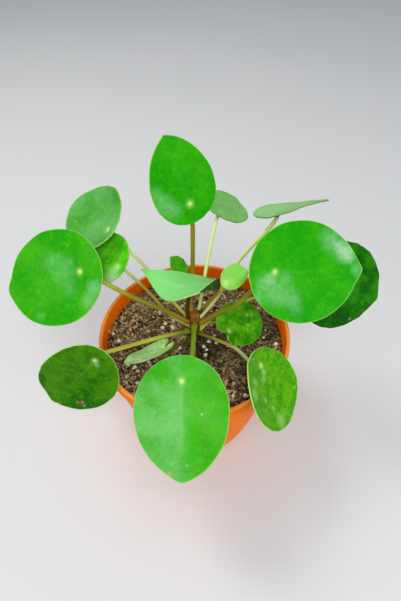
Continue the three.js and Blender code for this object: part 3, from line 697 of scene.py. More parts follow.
LEAVES = {
    "leaf_top": dict(
        spot=(-2, 22, 182), faces=-63, tilt=68, swing=-169, root=(-2.1, 5.4, 112), thickness=2.9,
        via=[(-1.3, 22.5, 129.5), (-0.9, 23.5, 150), (-1, 25.5, 168)], stalk=(BRONZE, BRONZE, BRONZE),
        deep=rgb(0.010, 0.34, 0.0003), fresh=rgb(0.035, 0.45, 0.0006), chalk=0.05, tip=0.6,
        # Its marks are painted sheen.
        marks=[(5.8, 13.9, 7, PAINTED_SHEEN, 0.3), (0.1, 9.6, 6, PAINTED_SHEEN, 0.25), (12.9, 15.6, 5, PAINTED_SHEEN, 0.2)]),
    "leaf_left": dict(
        spot=(-64, 0, 152), faces=-116.5, tilt=47, swing=-60, root=(-3.6, 3.5, 103), thickness=3.0,
        via=[(-19, 2.5, 115.5), (-38.5, -1, 133)], stalk=(GOLD, UMBER, HONEY), tip=0.0, blunt=0.6,
        deep=rgb(0.014, 0.345, 0.0003), fresh=rgb(0.05, 0.44, 0.001), sheen_strength=0.03, chalk=0.1,
        # Its marks are painted sheen.
        marks=[(11.5, -3.6, 11, PAINTED_SHEEN, 0.22), (-7.2, 11.1, 6, PAINTED_SHEEN, 0.4), (-2, 16.9, 6, PAINTED_SHEEN, 0.35),
               (18.9, -9.9, 8, PAINTED_SHEEN, 0.15), (8.4, 8.6, 6, PAINTED_SHEEN, 0.15), (32, 20.1, 5, PAINTED_SHEEN, 0.1)]),
    "leaf_upper_left": dict(
        spot=(-51, 27.5, 160), faces=-167.4, tilt=38.3, swing=-63.5, root=(-4.4, 4.6, 107), thickness=2.3,
        via=[(-15, 13, 113.5), (-30, 24, 130.5), (-39, 22.5, 147.5), (-47, 31.5, 150.5),
             (-52.5, 37.5, 151.5)],
        stalk=(LEMON, CREAM, CREAM), knee=1,
        deep=rgb(0.05, 0.33, 0.02), fresh=rgb(0.09, 0.41, 0.05), sheen_strength=0.3, chalk=0.3),
    "leaf_mid_left": dict(
        spot=(-45, 10, 146.5), faces=-142, tilt=41, swing=-88, root=(-4, 4.6, 98), thickness=2.2,
        via=[(-15.5, 9.5, 101), (-31, 21, 113)], stalk=(STRAW, STRAW, CREAM),
        deep=rgb(0.045, 0.52, 0.001), fresh=rgb(0.16, 0.70, 0.008), sheen_strength=0.03, chalk=0.6, mottle=120.0,
        # Its marks are painted sheen and a painted highlight.
        marks=[(-0.6, 7, 8, FROST_AND_SHEEN, 0.75), (-5, 10, 9, PAINTED_SHEEN, 0.7), (-2.5, 8.5, 5, CHALK_AND_HIGHLIGHT, 0.3),
               (-1, 0.2, 2.5, PAINTED_SHEEN, 0.5)]),
    "leaf_lower_left": dict(
        spot=(-56, -36.5, 117.5), faces=-90.8, tilt=69.7, swing=-42, root=(-3.8, 1.2, 95.5), thickness=2.9,
        via=[(-19.3, -7, 101), (-37, -17, 106)], stalk=(OLIVE, STRAW, STRAW),
        deep=rgb(0.008, 0.13, 0.0005), fresh=rgb(0.06, 0.24, 0.001), mottle=90.0, chalk=0.25, eye=0.8,
        crinkle=0.6,
        # Its first mark is painted sheen; the rest are scars.
        marks=[(1.7, 2.8, 2, PAINTED_SHEEN, 0.4), (32, 12.6, 3.6, SCAR, 0.95), (31, 12.6, 1.3, TAN, 0.8),
               (33, 10.6, 1.2, TAN, 0.6), (32.4, 14.8, 1.2, TAN, 0.7), (1.3, 14.8, 1.3, SCAR, 0.8),
               (4.5, 16, 1.3, SCAR, 0.6)]),
    "leaf_front": dict(
        spot=(-6.5, -49, 116), faces=-125.6, tilt=36.7, swing=29.4, root=(-0.2, -0.9, 103.5), thickness=3.5,
        via=[(-0.7, -14, 103), (-1.1, -26, 106)], stalk=(OLIVE, FERN, FERN),
        deep=rgb(0.04, 0.38, 0.006), fresh=rgb(0.07, 0.45, 0.012), sheen_strength=0.38, dull_side=1, midrib=0.12,
        chalk=0.2, tip=0.05, blunt=1.0,
        # Its marks are mostly plain green where the painted sheen is left off, with a little painted sheen, a
        # nick and chalky specks.
        marks=[(31.9, 6.6, 7, UNSHEENED_GREEN, 0.75), (22.5, 7, 6, UNSHEENED_GREEN, 0.6), (39, 5.3, 6, UNSHEENED_GREEN, 0.5),
               (-7.8, 2.8, 6, UNSHEENED_GREEN, 0.5), (-1, 4, 3, UNSHEENED_GREEN, 0.4), (4.7, -15.8, 6, PAINTED_SHEEN, 0.2),
               (48.5, -6.5, 1.6, NICK, 0.9), (17.1, 11.9, 0.8, CHALK_AND_HIGHLIGHT, 0.7), (43.6, -5.4, 0.9, CHALK_AND_HIGHLIGHT, 0.5),
               (43.6, 3.6, 0.9, CHALK_AND_HIGHLIGHT, 0.5)]),
    "leaf_lower_right": dict(
        spot=(38.5, -36.5, 112), faces=-24.4, tilt=52.4, swing=-30.4, root=(3.4, 0.4, 94), thickness=2.4,
        via=[(15.5, -7.5, 97), (25.5, -17, 102)], stalk=(MOSS, STRAW, CREAM), late=0.45,
        deep=rgb(0.05, 0.31, 0.0005), fresh=rgb(0.115, 0.43, 0.003), mottle=210.0, sheen_strength=0.02, chalk=0.8,
        crinkle=0.6,
        marks=[(4.3, 0.5, 2.4, FROST_AND_SHEEN, 0.55), (7.8, -1.5, 2.6, FROST_AND_SHEEN, 0.45), (18.3, -6.6, 2.2, FROST_AND_SHEEN, 0.5),
               (24.8, -2.6, 1.8, FROST_AND_SHEEN, 0.55), (32.7, -1.1, 5, FROST_AND_SHEEN, 0.5), (5.5, -12, 4, FROST_AND_SHEEN, 0.5),
               (10.7, -16.4, 5, FROST_AND_SHEEN, 0.5), (20.7, 19.1, 1.2, FROST_AND_SHEEN, 0.6)]),
    "leaf_right": dict(
        spot=(44.5, -4.5, 156), faces=-66.9, tilt=49.5, swing=75.7, root=(3.9, 2.2, 104), thickness=3.2,
        via=[(15.5, 0, 116.5), (25, -3, 126)], stalk=(GOLD, OLIVE, OLIVE), blush=0.65,
        deep=rgb(0.004, 0.33, 0.0002), fresh=rgb(0.035, 0.44, 0.0005), chalk=0.05,
        # Its marks are painted highlights and painted sheen.
        marks=[(45, 10.5, 9, PAINTED_SHEEN, 0.5), (46, 9, 6, CHALK_AND_HIGHLIGHT, 0.4), (36, 17, 9, PAINTED_SHEEN, 0.42),
               (52.8, 0.1, 5, PAINTED_SHEEN, 0.3), (41, 13, 5, CHALK_AND_HIGHLIGHT, 0.25), (-3.1, -4, 4, CHALK_AND_HIGHLIGHT, 0.3),
               (-6.7, -6.6, 7, PAINTED_SHEEN, 0.4), (-0.1, -12.3, 8, PAINTED_SHEEN, 0.35), (9.2, -15.5, 8, PAINTED_SHEEN, 0.3),
               (13.6, -20.8, 6, PAINTED_SHEEN, 0.2), (-10.3, -14.6, 5, PAINTED_SHEEN, 0.3), (6, -5.4, 7, PAINTED_SHEEN, 0.25)]),
    "leaf_far_right": dict(
        spot=(76.5, 4, 140.5), faces=-62.8, tilt=63.7, swing=56, root=(4, 4.4, 99), thickness=2.6,
        via=[(14.5, 11, 99.5), (25.5, 16, 101.5), (35.5, 20.5, 104), (42.5, 20.5, 108.5)],
        stalk=(LEMON, LEMON, SAP),
        deep=rgb(0.001, 0.095, 0.0002), fresh=rgb(0.02, 0.25, 0.0005), mottle=80.0, chalk=0.1,
        edge=rgb(0.13, 0.12, 0.01), crinkle=0.7,
        # Its large dark mark is a painted shadow cast by the right leaf; the small one is a nick.
        marks=[(25, -19, 15, PAINTED_SHADOW, 0.85), (34.5, -17.6, 1.4, TAN, 0.8)]),
    "leaf_upper_right": dict(
        spot=(48.5, 35, 168), faces=121, tilt=31.7, swing=-94.4, root=(4, 5.4, 107), thickness=2.7,
        via=[(13.5, 12, 115.5), (27, 23.5, 137)], stalk=(CREAM, CREAM, BROWN), late=0.95, blush=0.0,
        # Its greens are pale with a painted grazing sheen.
        deep=rgb(0.20, 0.50, 0.09), fresh=rgb(0.27, 0.56, 0.13), sheen_strength=0.45, chalk=0.1, eye=0.0,
        edge=rgb(0.20, 0.26, 0.07)),
    "leaf_upper_back": dict(
        spot=(16, 45, 160), faces=16.4, tilt=26, swing=47.7, root=(2.2, 6.2, 110), thickness=2.4,
        via=[(4.8, 14.5, 120.5), (9.7, 31, 141.5)], stalk=(CREAM, CREAM, GOLD), late=0.96, blush=0.0,
        # Its greens are pale with a painted grazing sheen.
        deep=rgb(0.12, 0.40, 0.05), fresh=rgb(0.17, 0.46, 0.08), sheen_strength=0.35, chalk=0.1, eye=0.3,
        edge=rgb(0.24, 0.34, 0.10)),
    "leaf_centre": dict(
        spot=(-3, 0, 139.7), faces=106.9, tilt=29.5, swing=52.2, root=(-3.6, 2, 109.5), thickness=2.6,
        via=[(-4.2, 2, 122)], stalk=(BROWN, BROWN, BROWN), blush=0.0,
        # Its greens are pale with a painted grazing sheen.
        deep=rgb(0.21, 0.70, 0.16), fresh=rgb(0.27, 0.78, 0.22), grain=0.15, sheen_strength=0.25, chalk=0.05, eye=0.0,
        # Its underside is darkened as painted shade, so that the turned-up flap looks shaded.
        tip=0.7, turned=(126, 236, 5.2), under=0.3),
    "leaf_young_right": dict(
        spot=(17.4, -10.9, 154.3), faces=-66, tilt=67, swing=106, root=(3.1, 3.6, 112), thickness=2.1,
        via=[(9.8, -3.4, 131.5), (15.5, -9.8, 148.5)], stalk=(BROWN, AMBER, AMBER),
        # Its greens are pale with a painted grazing sheen; the spring-green marks are where it shows none.
        deep=rgb(0.17, 0.60, 0.04), fresh=rgb(0.30, 0.74, 0.12), grain=0.2, sheen_strength=0.2, chalk=0.0, eye=0.9,
        marks=[(8, -5, 7, SPRING, 0.85), (1, -6, 5, SPRING, 0.7)]),
    "leaf_young_back": dict(
        spot=(-7.4, 29.5, 124.2), faces=-30.4, tilt=53, swing=-166, root=(-1.2, 7, 105.5), thickness=1.7,
        via=[(-4.2, 15, 112)], stalk=(SAP, SAP, SAP),
        deep=rgb(0.03, 0.36, 0.002), fresh=rgb(0.12, 0.55, 0.01), chalk=0.0, eye=0.0),
    "leaf_low_right": dict(
        spot=(21.9, -7.5, 106.6), faces=-32.4, tilt=20, swing=78, root=(3.4, 4, 94), thickness=1.9,
        via=[(10, 8, 96.5), (17.5, 4, 99.5)], stalk=(LEMON, LEMON, LEMON),
        deep=rgb(0.02, 0.23, 0.0005), fresh=rgb(0.12, 0.48, 0.006), mottle=150.0, chalk=0.7, eye=0.7,
        tip=0.1, notched=True,
        marks=[(11.3, 10.8, 4.5, LIME, 0.8), (18.6, 9.5, 4.5, LIME, 0.7), (2, 9.5, 3.5, LIME, 0.6),
               (14.1, -4.6, 1.4, FROST_AND_SHEEN, 0.7), (19.3, 1.1, 1.8, FROST_AND_SHEEN, 0.7), (22, -1, 1.2, FROST_AND_SHEEN, 0.6)]),
    "leaf_low_left": dict(
        spot=(-18.8, -17, 101.9), faces=140.4, tilt=33, swing=78.4, root=(-2.2, -1, 92.6), thickness=2.0,
        via=[(-11.3, -12.3, 97.5)], stalk=(MOSS, MOSS, MOSS),
        # Its greens are pale with a painted grazing sheen.
        deep=rgb(0.29, 0.72, 0.16), fresh=rgb(0.70, 0.99, 0.46), mottle=170.0, sheen_strength=0.2, chalk=0.8, eye=0.3,
        edge=rgb(0.40, 0.55, 0.16), notched=True),
}


def leaf_axes(leaf):
    """Out of the upper face, towards the tip, and across, as unit vectors."""
    bearing, lean, swing = (math.radians(leaf[key]) for key in ("faces", "tilt", "swing"))
    side = Vector((math.cos(bearing), math.sin(bearing), 0))
    up = Vector((0, 0, math.cos(lean))) + side * math.sin(lean)
    down = Vector((0, 0, -math.sin(lean))) + side * math.cos(lean)
    tip = Matrix.Rotation(swing, 3, up) @ down
    return up, tip, up.cross(tip)


# The share of the way to the margin of each ring of points that a CAD blade is drawn with, from outside in.
RING_SHARES = (1.0, 0.7, 0.36, 0.0)
NOTCH_SHARPNESS = 0.7
ROUNDING_STEPS = 4
# How far a face of the upper sheet has to look the blade's way.
FACING = 0.15


def blade_cage(name, leaf):
    """The upper sheet of the leaf's CAD blade as quads, with each point's share of the way to the margin."""
    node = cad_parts[name + "_blade"]
    sheet = bpy.data.objects.new(name, node.data.copy())
    sheet.data.materials.clear()
    bpy.context.scene.collection.objects.link(sheet)
    only(sheet)
    up, tip = leaf_axes(leaf)[:2]
    bpy.ops.object.mode_set(mode="EDIT")
    bpy.ops.mesh.select_all(action="SELECT")
    bpy.ops.mesh.remove_doubles(threshold=0.05 * MM)
    bpy.ops.mesh.select_all(action="DESELECT")
    bpy.ops.mesh.select_mode(type="FACE")
    shape = bmesh.from_edit_mesh(sheet.data)
    shape.normal_update()
    for face in shape.faces:
        face.select = face.normal.dot(up) < FACING
    bmesh.update_edit_mesh(sheet.data)
    bpy.ops.mesh.delete(type="FACE")
    bpy.ops.mesh.select_all(action="SELECT")
    bpy.ops.mesh.tris_convert_to_quads(face_threshold=1.0, shape_threshold=1.05)
    shape = bmesh.from_edit_mesh(sheet.data)
    reach = shape.verts.layers.float.new("reach")
    ring = [vertex for vertex in shape.verts if vertex.is_boundary]
    seen = set(ring)
    for share in RING_SHARES:
        for vertex in ring:
            vertex[reach] = share
        ring = [edge.other_vert(vertex) for vertex in ring for edge in vertex.link_edges]
        ring = [vertex for vertex in dict.fromkeys(ring) if vertex not in seen]
        seen.update(ring)
    spot = Vector(leaf["spot"]) * MM
    crease = shape.verts.layers.float.new("crease_vert")
    margin = [vertex for vertex in shape.verts if vertex.is_boundary]
    foremost = max(margin, key=lambda vertex: (vertex.co - spot).dot(tip))
    foremost[crease] = leaf["tip"]
    notch = min(margin, key=lambda vertex: (vertex.co - spot).length)
    if leaf["notched"]:
        notch[crease] = NOTCH_SHARPNESS
    # Rounding draws the margin in, so its points move out until the rounded margin meets the drawn one.
    beside = {}
    for vertex in margin:
        beside[vertex] = [edge.other_vert(vertex) for edge in vertex.link_edges if edge.is_boundary]
    drawn = {vertex: vertex.co.copy() for vertex in margin}
    give = {vertex: 1 - vertex[crease] for vertex in margin}
    give[foremost] *= 1 - leaf["blunt"]
    for step in range(ROUNDING_STEPS):
        rounded = {}
        for vertex in margin:
            before, after = beside[vertex]
            rounded[vertex] = (4 * vertex.co + before.co + after.co) / 6
        for vertex in margin:
            vertex.co += (drawn[vertex] - rounded[vertex]) * give[vertex]
    bmesh.update_edit_mesh(sheet.data)
    bpy.ops.object.mode_set(mode="OBJECT")
    return sheet


TURN_ROWS = 4
# How far the fold's share of the way out drops, so that the pale margin lies on the flap's edge instead.
FOLD_DROP = 0.12


def turn_up(sheet, leaf):
    """Draws part of the margin up into a narrow flap, so that its underside shows, dark with painted shade.
    """
    first, last, height = leaf["turned"]
    up = leaf_axes(leaf)[0]
    bpy.ops.object.mode_set(mode="EDIT")
    bpy.ops.mesh.select_mode(type="EDGE")
    bpy.ops.mesh.select_all(action="DESELECT")
    shape = bmesh.from_edit_mesh(sheet.data)
    place = shape.verts.layers.float_vector["place"]

    def arch(vertex):
        bearing = math.degrees(math.atan2(vertex[place].y, vertex[place].x)) % 360
        return math.sin(math.pi * min(1.0, max(0.0, (bearing - first) / (last - first))))

    for edge in shape.edges:
        edge.select = edge.is_boundary and all(arch(vertex) > 0.001 for vertex in edge.verts)
    for vertex in shape.verts:
        if vertex.select:
            vertex[place].z -= FOLD_DROP * arch(vertex)
    bmesh.update_edit_mesh(sheet.data)
    for row in range(TURN_ROWS):
        bpy.ops.mesh.extrude_region_move(TRANSFORM_OT_translate={"value": (0, 0, 0)})
        shape = bmesh.from_edit_mesh(sheet.data)
        place = shape.verts.layers.float_vector["place"]
        for vertex in shape.verts:
            if vertex.select:
                vertex.co += up * (height / TURN_ROWS * arch(vertex) * MM)
                if row == TURN_ROWS - 1:
                    vertex[place].z = 1.0
        bmesh.update_edit_mesh(sheet.data)
    bpy.ops.mesh.select_all(action="SELECT")
    bpy.ops.mesh.normals_make_consistent(inside=False)
    shape = bmesh.from_edit_mesh(sheet.data)
    if sum(face.normal.dot(up) for face in shape.faces) < 0:
        bpy.ops.mesh.flip_normals()
    bpy.ops.object.mode_set(mode="OBJECT")


RIBS = 9


def leaf_pattern(look):
    """Leaf coordinates in metres from the spot, the distance from it, and the share of the way out."""
    where = look.add("Attribute", "Vector", attribute_name="place", attribute_type="GEOMETRY")
    apart = look.add("SeparateXYZ", 0, {"Vector": where}).node
    along, across, share = (apart.outputs[axis] for axis in "XYZ")
    flat = look.add("CombineXYZ", 0, {"X": along, "Y": across})
    span = look.add("VectorMath", "Value", {0: flat}, operation="LENGTH")
    return along, across, share, flat, span


def ribs(look, along, across, flat, span):
    """Main ribs that run out from the spot like spokes, straight at first, thinning as they go."""
    waver = look.math("MULTIPLY", look.math("SUBTRACT", look.noise(45.0, 1.0, flat), 0.5), 0.5)
    bearing = look.math("ADD", look.math("ARCTAN2", across, along), waver)
    turns = look.math("PINGPONG", look.math("MULTIPLY", bearing, RIBS / (2 * math.pi)), 0.5)
    aside = look.math("MULTIPLY", turns, look.math("MULTIPLY", span, 2 * math.pi / RIBS))
    width = look.band(span, 0.0, 30.0 * MM, 0.6 * MM, 0.3 * MM)
    return look.band(aside, 0.0, width, 1.0, 0.0)


def upper_finish(name, leaf):
    """Waxy green skin with painted sheen, highlights and shadow, faint ribs, lime specks, and a pale spot
    over the stalk.
    """
    look = Finish(name + "_upper_face")
    along, across, share, flat, span = leaf_pattern(look)
    drift = look.band(look.noise(leaf["mottle"], 3.0), 0.32, 0.68)
    colour = look.mix(drift, leaf["deep"], leaf["fresh"])
    dark = shaded(leaf["deep"], 0.6)
    shadows = look.band(look.noise(420.0, 5.0, roughness=0.65), 0.52, 0.3, 0.0, 0.4 * leaf["grain"])
    colour = look.mix(shadows, colour, dark)
    light = rgb(*(min(1.0, 1.4 * part + 0.002) for part in leaf["fresh"][:3]))
    flecks = look.band(look.noise(260.0, 5.0, roughness=0.65), 0.5, 0.75, 0.0, 0.5 * leaf["grain"])
    colour = look.mix(flecks, colour, light)
    rib = ribs(look, along, across, flat, span)
    colour = look.mix(look.math("MULTIPLY", rib, 0.04), colour, RIB_GREEN)
    middle = look.band(look.math("ABSOLUTE", across), 1.8 * MM, 0.2 * MM, 0.0, leaf["midrib"])
    middle = look.math("MULTIPLY", middle, look.band(along, 42.0 * MM, 20.0 * MM))
    middle = look.math("MULTIPLY", middle, look.band(along, 0.0, 2.0 * MM))
    colour = look.mix(middle, colour, FROST_AND_SHEEN)
    skin = {"Vector": look.place, "Scale": 420.0}
    cells = look.add("TexVoronoi", "Distance", skin, feature="DISTANCE_TO_EDGE")
    net = look.band(cells, 0.09, 0.0)
    colour = look.mix(look.math("MULTIPLY", net, 0.05), colour, RIB_GREEN)
    grain = look.band(look.noise(700.0, 4.0), 0.3, 0.7, 0.65, 1.0)
    sheen_layer = look.math("MULTIPLY", look.band(look.noise(40.0, 4.0, roughness=0.6), 0.3, 0.72), grain)
    # On one side of the midrib the painted sheen is mostly left off.
    if "dull_side" in leaf:
        sheen_share = look.band(look.math("MULTIPLY", across, leaf["dull_side"]), 6.0 * MM, -3.0 * MM, 0.25, 1.0)
        sheen_layer = look.math("MULTIPLY", sheen_layer, sheen_share)
    # Painted sheen: a pale layer that stands in for the reflection off the waxy skin.
    colour = look.mix(look.math("MULTIPLY", sheen_layer, leaf["sheen_strength"]), colour, PAINTED_SHEEN)
    fray = look.math("SUBTRACT", look.noise(150.0, 4.0, roughness=0.65), 0.5)
    # Marks: painted sheen, highlights and a shadow, and the leaves' own scars, nicks and specks.
    for along_at, across_at, size, tint, strength in leaf["marks"]:
        centre = (along_at * MM, across_at * MM, 0.0)
        off = look.add("VectorMath", "Value", {0: flat, 1: centre}, operation="DISTANCE")
        ragged = look.math("ADD", off, look.math("MULTIPLY", fray, 1.1 * size * MM))
        mark = look.math("MULTIPLY", look.band(ragged, 1.15 * size * MM, 0.1 * size * MM), grain)
        colour = look.mix(look.math("MULTIPLY", mark, strength), colour, tint)
    dots = look.add("TexVoronoi", "Distance", {"Vector": look.place, "Scale": 480.0})
    dusty = look.band(look.noise(70.0, 3.0), 0.5, 0.66)
    specks = look.math("MULTIPLY", look.band(dots, 0.24, 0.1), dusty)
    colour = look.mix(look.math("MULTIPLY", specks, leaf["chalk"]), colour, LIME_DUST)
    halo = look.band(span, 3.8 * MM, 1.0 * MM, 0.0, 0.25 * leaf["eye"])
    colour = look.mix(halo, colour, EYE_GREEN)
    eye = look.band(span, 2.0 * MM, 0.3 * MM, 0.0, 0.85 * leaf["eye"])
    colour = look.mix(eye, colour, EYE_GREEN)
    edge = look.band(share, 0.984, 0.994)
    colour = look.mix(look.math("MULTIPLY", edge, 0.42), colour, leaf["edge"])
    roughness = look.band(look.noise(120.0, 4.0), 0.25, 0.75, 0.27, 0.42)
    relief = look.bump(look.noise(90.0, 2.0), 0.0006, 0.3)
    relief = look.bump(look.noise(300.0, 3.0), 0.0003, 0.3, relief)
    relief = look.bump(net, -0.00005, 0.3, relief)
    return look.finish(Base_Color=colour, Roughness=roughness, Normal=relief, Specular_IOR_Level=0.035)


def under_finish(name, leaf):
    """The matte underside, with its ribs standing out."""
    look = Finish(name + "_under_face")
    along, across, share, flat, span = leaf_pattern(look)
    drift = look.band(look.noise(45.0, 3.0), 0.3, 0.7)
    # The underside's greens are scaled by under; below 1 this is painted shade.
    dark, light = (shaded(green, leaf["under"]) for green in (UNDER_DEEP, UNDER_PALE))
    colour = look.mix(drift, dark, light)
    rib = ribs(look, along, across, flat, span)
    colour = look.mix(look.math("MULTIPLY", rib, 0.4), colour, UNDER_RIB)
    edge = look.band(share, 0.98, 0.99)
    colour = look.mix(look.math("MULTIPLY", edge, 0.8), colour, leaf["edge"])
    relief = look.bump(rib, 0.0004, 0.8)
    relief = look.bump(look.noise(320.0, 4.0), 0.0003, 0.4, relief)
    return look.finish(Base_Color=colour, Roughness=0.55, Normal=relief, Specular_IOR_Level=0.1)


BLADE_THICKNESS = 0.7
# Where the margin's unevenness begins, as a share of the way out; how far it strays outward and is finely
# scalloped, as shares of the radius; and how far it rises and falls.
MARGIN_START = 0.55
MARGIN_STRAY = 0.016
SCALLOP_DEPTH = 0.02
MARGIN_RISE = 0.55
# The broad and the fine swellings of the face, the span over which they grow, the dimple over the stalk,
# and how far the whole face lies under the source's.
BROAD_SWELL = 0.28
FINE_SWELL = 0.10
SWELL_SPAN = 8.0
DIMPLE_DEPTH = 0.45
DIMPLE_RADIUS = 2.2
FACE_INSET = 0.02


def blade(name, leaf):
    """The sheet is rounded, rippled a little, dimpled over the stalk and given its thickness."""
    sheet = blade_cage(name, leaf)
    only(sheet)
    rounded = sheet.modifiers.new("round", "SUBSURF")
    rounded.levels = rounded.render_levels = 3
    bpy.ops.object.modifier_apply(modifier="round")
    up, tip, across = leaf_axes(leaf)
    spot = Vector(leaf["spot"]) * MM
    own = Vector((0, 0, 3.7 * list(LEAVES).index(name)))
    reach = sheet.data.attributes["reach"]
    place = sheet.data.attributes.new("place", "FLOAT_VECTOR", "POINT")
    for vertex, share, where in zip(sheet.data.vertices, reach.data, place.data):
        out = vertex.co - spot
        where.vector = (out.dot(tip), out.dot(across), share.value)
        turn = math.atan2(out.dot(across), out.dot(tip))
        rim = max(0.0, share.value - MARGIN_START) / (1 - MARGIN_START)
        ring = Vector((math.cos(turn), math.sin(turn), 0))
        vertex.co += out * (MARGIN_STRAY * noise.noise(ring * 3.2 + own) * rim ** 2)
        vertex.co += out * (leaf["crinkle"] * SCALLOP_DEPTH * noise.noise(ring * 9.0 + own) * rim ** 3)
        vertex.co += up * (MARGIN_RISE * noise.noise(ring * 2.6 - own) * rim ** 2 * MM)
        span = out.length / MM
        growth = min(1.0, span / SWELL_SPAN)
        swell = BROAD_SWELL * noise.noise(vertex.co / MM * 0.055) * growth
        swell += FINE_SWELL * noise.noise(vertex.co / MM * 0.22) * growth
        dimple = -DIMPLE_DEPTH * math.exp(-(span / DIMPLE_RADIUS) ** 2)
        vertex.co += up * (swell + dimple - FACE_INSET) * MM
    if "turned" in leaf:
        turn_up(sheet, leaf)
    sheet.data.materials.append(upper_finish(name, leaf))
    sheet.data.materials.append(under_finish(name, leaf))
    thick = sheet.modifiers.new("thickness", "SOLIDIFY")
    thick.thickness = BLADE_THICKNESS * MM
    thick.offset = -1
    thick.material_offset = 1
    thick.material_offset_rim = 1
    bpy.ops.object.modifier_apply(modifier="thickness")
    settle(sheet, name + "_leaf", smooth=60)
    return sheet


CURVE_STEPS = 40
TINY = 1e-9


def smooth_run(points, count):
    """Evenly spaced points on the smooth curve through the given ones, and its length."""
    before = points[0] * 2 - points[1]
    after = points[-1] * 2 - points[-2]
    knots = [before] + points + [after]
    fine = []
    for back, here, there, ahead in zip(knots, knots[1:], knots[2:], knots[3:]):
        pairs = ((back, here), (here, there), (there, ahead))
        behind, between, beyond = (max(TINY, (far - near).length) ** 0.5 for near, far in pairs)
        leave = (here - back) / behind - (there - back) / (behind + between) + (there - here) / between
        arrive = (there - here) / between - (ahead - here) / (between + beyond) + (ahead - there) / beyond
        leave, arrive = leave * between, arrive * between
        for i in range(CURVE_STEPS):
            gone = i / CURVE_STEPS
            square, cube = gone ** 2, gone ** 3
            bend = (2 * cube - 3 * square + 1) * here + (cube - 2 * square + gone) * leave
            fine.append(bend + (3 * square - 2 * cube) * there + (cube - square) * arrive)
    fine.append(points[-1])
    lengths = [0.0]
    for near, far in zip(fine, fine[1:]):
        lengths.append(lengths[-1] + (far - near).length)
    run, place = [], 0
    for i in range(count + 1):
        goal = lengths[-1] * i / count
        while place < len(fine) - 2 and lengths[place + 1] < goal:
            place += 1
        share = (goal - lengths[place]) / max(TINY, lengths[place + 1] - lengths[place])
        run.append(fine[place].lerp(fine[place + 1], share))
    return run, lengths[-1]


STALK_STEPS = 72
# A stalk begins in the stem's middle, this far under its root, and ends this far under the blade's face.
HEART_DROP = 1.2
BLADE_GRIP = 0.5
# Its width as a share of its thickness, its unevenness, and how much it flares, how far along, how broadly.
SLENDER = 0.96
UNEVEN = 0.03
FOOT_FLARE, FOOT_FLARE_AT, FOOT_FLARE_SPAN = 0.35, 4.5, 3.0
TOP_FLARE, TOP_FLARE_SPAN = 0.22, 1.6


def stalk(name, leaf):
    """A round stalk from inside the stem into its blade, swollen near both."""
    up = leaf_axes(leaf)[0]
    spot, root = Vector(leaf["spot"]), Vector(leaf["root"])
    heart = Vector((STEM.x, STEM.y, root.z - HEART_DROP))
    knee = spot - up * leaf["knee"]
    points = [heart, root] + [Vector(point) for point in leaf["via"]] + [knee, spot - up * BLADE_GRIP]
    run, length = smooth_run(points, STALK_STEPS)
    curve = bpy.data.curves.new(name + "_run", "CURVE")
    curve.dimensions = "3D"
    curve.bevel_depth = leaf["thickness"] / 2 * MM
    curve.bevel_resolution = 4
    curve.use_fill_caps = True
    line = curve.splines.new("POLY")
    line.points.add(STALK_STEPS)
    for i, (point, where) in enumerate(zip(line.points, run)):
        point.co = (*(where * MM), 1)
        gone = i / STALK_STEPS * length
        foot_flare = FOOT_FLARE * math.exp(-((gone - FOOT_FLARE_AT) / FOOT_FLARE_SPAN) ** 2)
        top_flare = TOP_FLARE * math.exp(-((length - gone) / TOP_FLARE_SPAN) ** 2)
        point.radius = SLENDER + foot_flare + top_flare + UNEVEN * noise.noise(where * 0.15)
    holder = bpy.data.objects.new(name + "_run", curve)
    bpy.context.scene.collection.objects.link(holder)
    only(holder)
    bpy.ops.object.convert(target="MESH")
    tube = bpy.context.object
    finder = kdtree.KDTree(len(run))
    for i, where in enumerate(run):
        finder.insert(where * MM, i)
    finder.balance()
    gone = tube.data.attributes.new("run", "FLOAT", "POINT")
    for vertex, value in zip(tube.data.vertices, gone.data):
        value.value = finder.find(vertex.co)[1] / STALK_STEPS
    settle(tube, name + "_petiole", smooth=60)
    return tube


def stalk_finish(name, leaf):
    """Smooth satin skin that changes colour along its run, finely streaked and browned on top."""
    look = Finish(name + "_petiole_skin")
    run = look.add("Attribute", "Fac", attribute_name="run", attribute_type="GEOMETRY")
    root_colour, middle_colour, top_colour = leaf["stalk"]
    waver = look.math("MULTIPLY", look.math("SUBTRACT", look.noise(90.0, 2.0), 0.5), 0.1)
    gone = look.math("ADD", run, waver)
    colour = look.mix(look.band(gone, 0.08, 0.4), root_colour, middle_colour)
    late = leaf["late"]
    colour = look.mix(look.band(gone, late, late + 0.35 * (1 - late) + 0.02), colour, top_colour)
    facing = look.add("SeparateXYZ", "Z", {"Vector": look.add("TexCoord", "Normal")})
    blush = look.band(facing, 0.0, 0.7, 0.0, leaf["blush"])
    colour = look.mix(blush, colour, BRONZE)
    streaks = look.noise(520.0, 4.0)
    colour = look.mix(look.band(streaks, 0.5, 0.8, 0.0, 0.25), colour, shaded(middle_colour, 0.5))
    relief = look.bump(streaks, 0.0002, 0.4)
    return look.finish(Base_Color=colour, Roughness=0.36, Normal=relief, Specular_IOR_Level=0.25)


for name, own_values in LEAVES.items():
    leaf = {**USUAL, **own_values}
    leaf_blade = blade(name, leaf)
    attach(leaf_blade, "root")
    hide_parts(name + "_blade")
    petiole = stalk(name, leaf)
    petiole.data.materials.append(stalk_finish(name, leaf))
    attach(petiole, "root")
    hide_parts(name + "_stalk")


# Studio
# A plain pale floor, an even surround, and soft window lights from above, both sides and the front.
# The camera looks down at the plant from the front, as the photo's does.

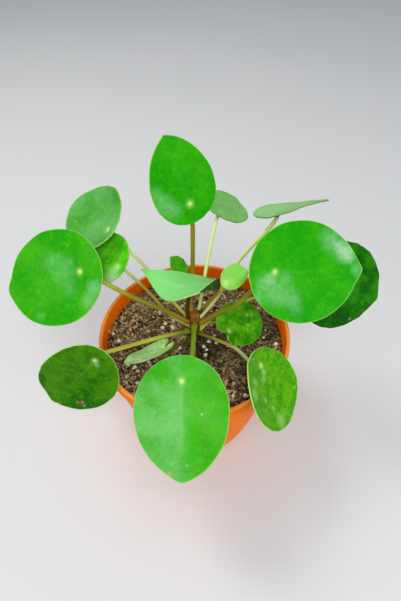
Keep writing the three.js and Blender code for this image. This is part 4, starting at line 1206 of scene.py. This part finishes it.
# The floor, the lights and the camera are placed in metres.
FLOOR_SIZE = 8.0
FLOOR_PLACE = (0, 2.0, 0)
FLOOR_GREY = rgb(0.70, 0.71, 0.72)
FLOOR_PALE = rgb(0.74, 0.745, 0.75)
SURROUND_COLOUR = rgb(0.93, 0.96, 1.0)
SURROUND_STRENGTH = 0.42
LIGHTS_AIM = Vector((0, 0, 0.12))
WARM_WHITE = (1.0, 0.99, 0.96)
WHITE = (1.0, 1.0, 1.0)
CAMERA_PLACE = (0.0038, -0.1626, 0.3086)
# The camera's tilt from straight down, in degrees, and its lens and sensor in millimetres.
CAMERA_TILT = 41.94
LENS = 23.96
SENSOR_WIDTH = 36.0

deselect()
bpy.ops.mesh.primitive_plane_add(size=FLOOR_SIZE, location=FLOOR_PLACE)
floor = bpy.context.object
floor.name = "studio_floor"
paper = Finish("floor_paper")
paper_tone = paper.mix(paper.noise(3.0, 2.0), FLOOR_GREY, FLOOR_PALE)
floor.data.materials.append(paper.finish(Base_Color=paper_tone, Roughness=0.8))

world = bpy.data.worlds.new("studio_surround")
world.use_nodes = True
surround = world.node_tree.nodes["Background"]
surround.inputs["Color"].default_value = SURROUND_COLOUR
surround.inputs["Strength"].default_value = SURROUND_STRENGTH
bpy.context.scene.world = world


def soft_light(name, place, size, power, colour):
    """A round soft light that looks at the plant."""
    light = bpy.data.lights.new(name, "AREA")
    light.shape = "DISK"
    light.size = size
    light.energy = power
    light.color = colour
    holder = bpy.data.objects.new(name, light)
    bpy.context.scene.collection.objects.link(holder)
    holder.location = place
    holder.rotation_euler = (LIGHTS_AIM - Vector(place)).to_track_quat("-Z", "Y").to_euler()


soft_light("top_window", (-0.55, 0.35, 1.15), 0.45, 5.0, WARM_WHITE)
soft_light("right_window", (0.95, -0.66, 0.62), 0.4, 2.0, WHITE)
soft_light("left_window", (-0.98, -0.50, 0.62), 0.4, 1.5, WHITE)
soft_light("front_window", (0.2, -0.85, 1.2), 0.7, 9.0, WHITE)

camera_data = bpy.data.cameras.new("camera")
camera_data.sensor_fit = "AUTO"
camera_data.sensor_width = SENSOR_WIDTH
camera_data.lens = LENS
camera_data.clip_start = 0.01
camera = bpy.data.objects.new("camera", camera_data)
camera.location = CAMERA_PLACE
camera.rotation_euler = (math.radians(CAMERA_TILT), 0, 0)
bpy.context.scene.collection.objects.link(camera)
bpy.context.scene.camera = camera
# The default view transform would grey the greens and the orange.
bpy.context.scene.view_settings.view_transform = "Standard"
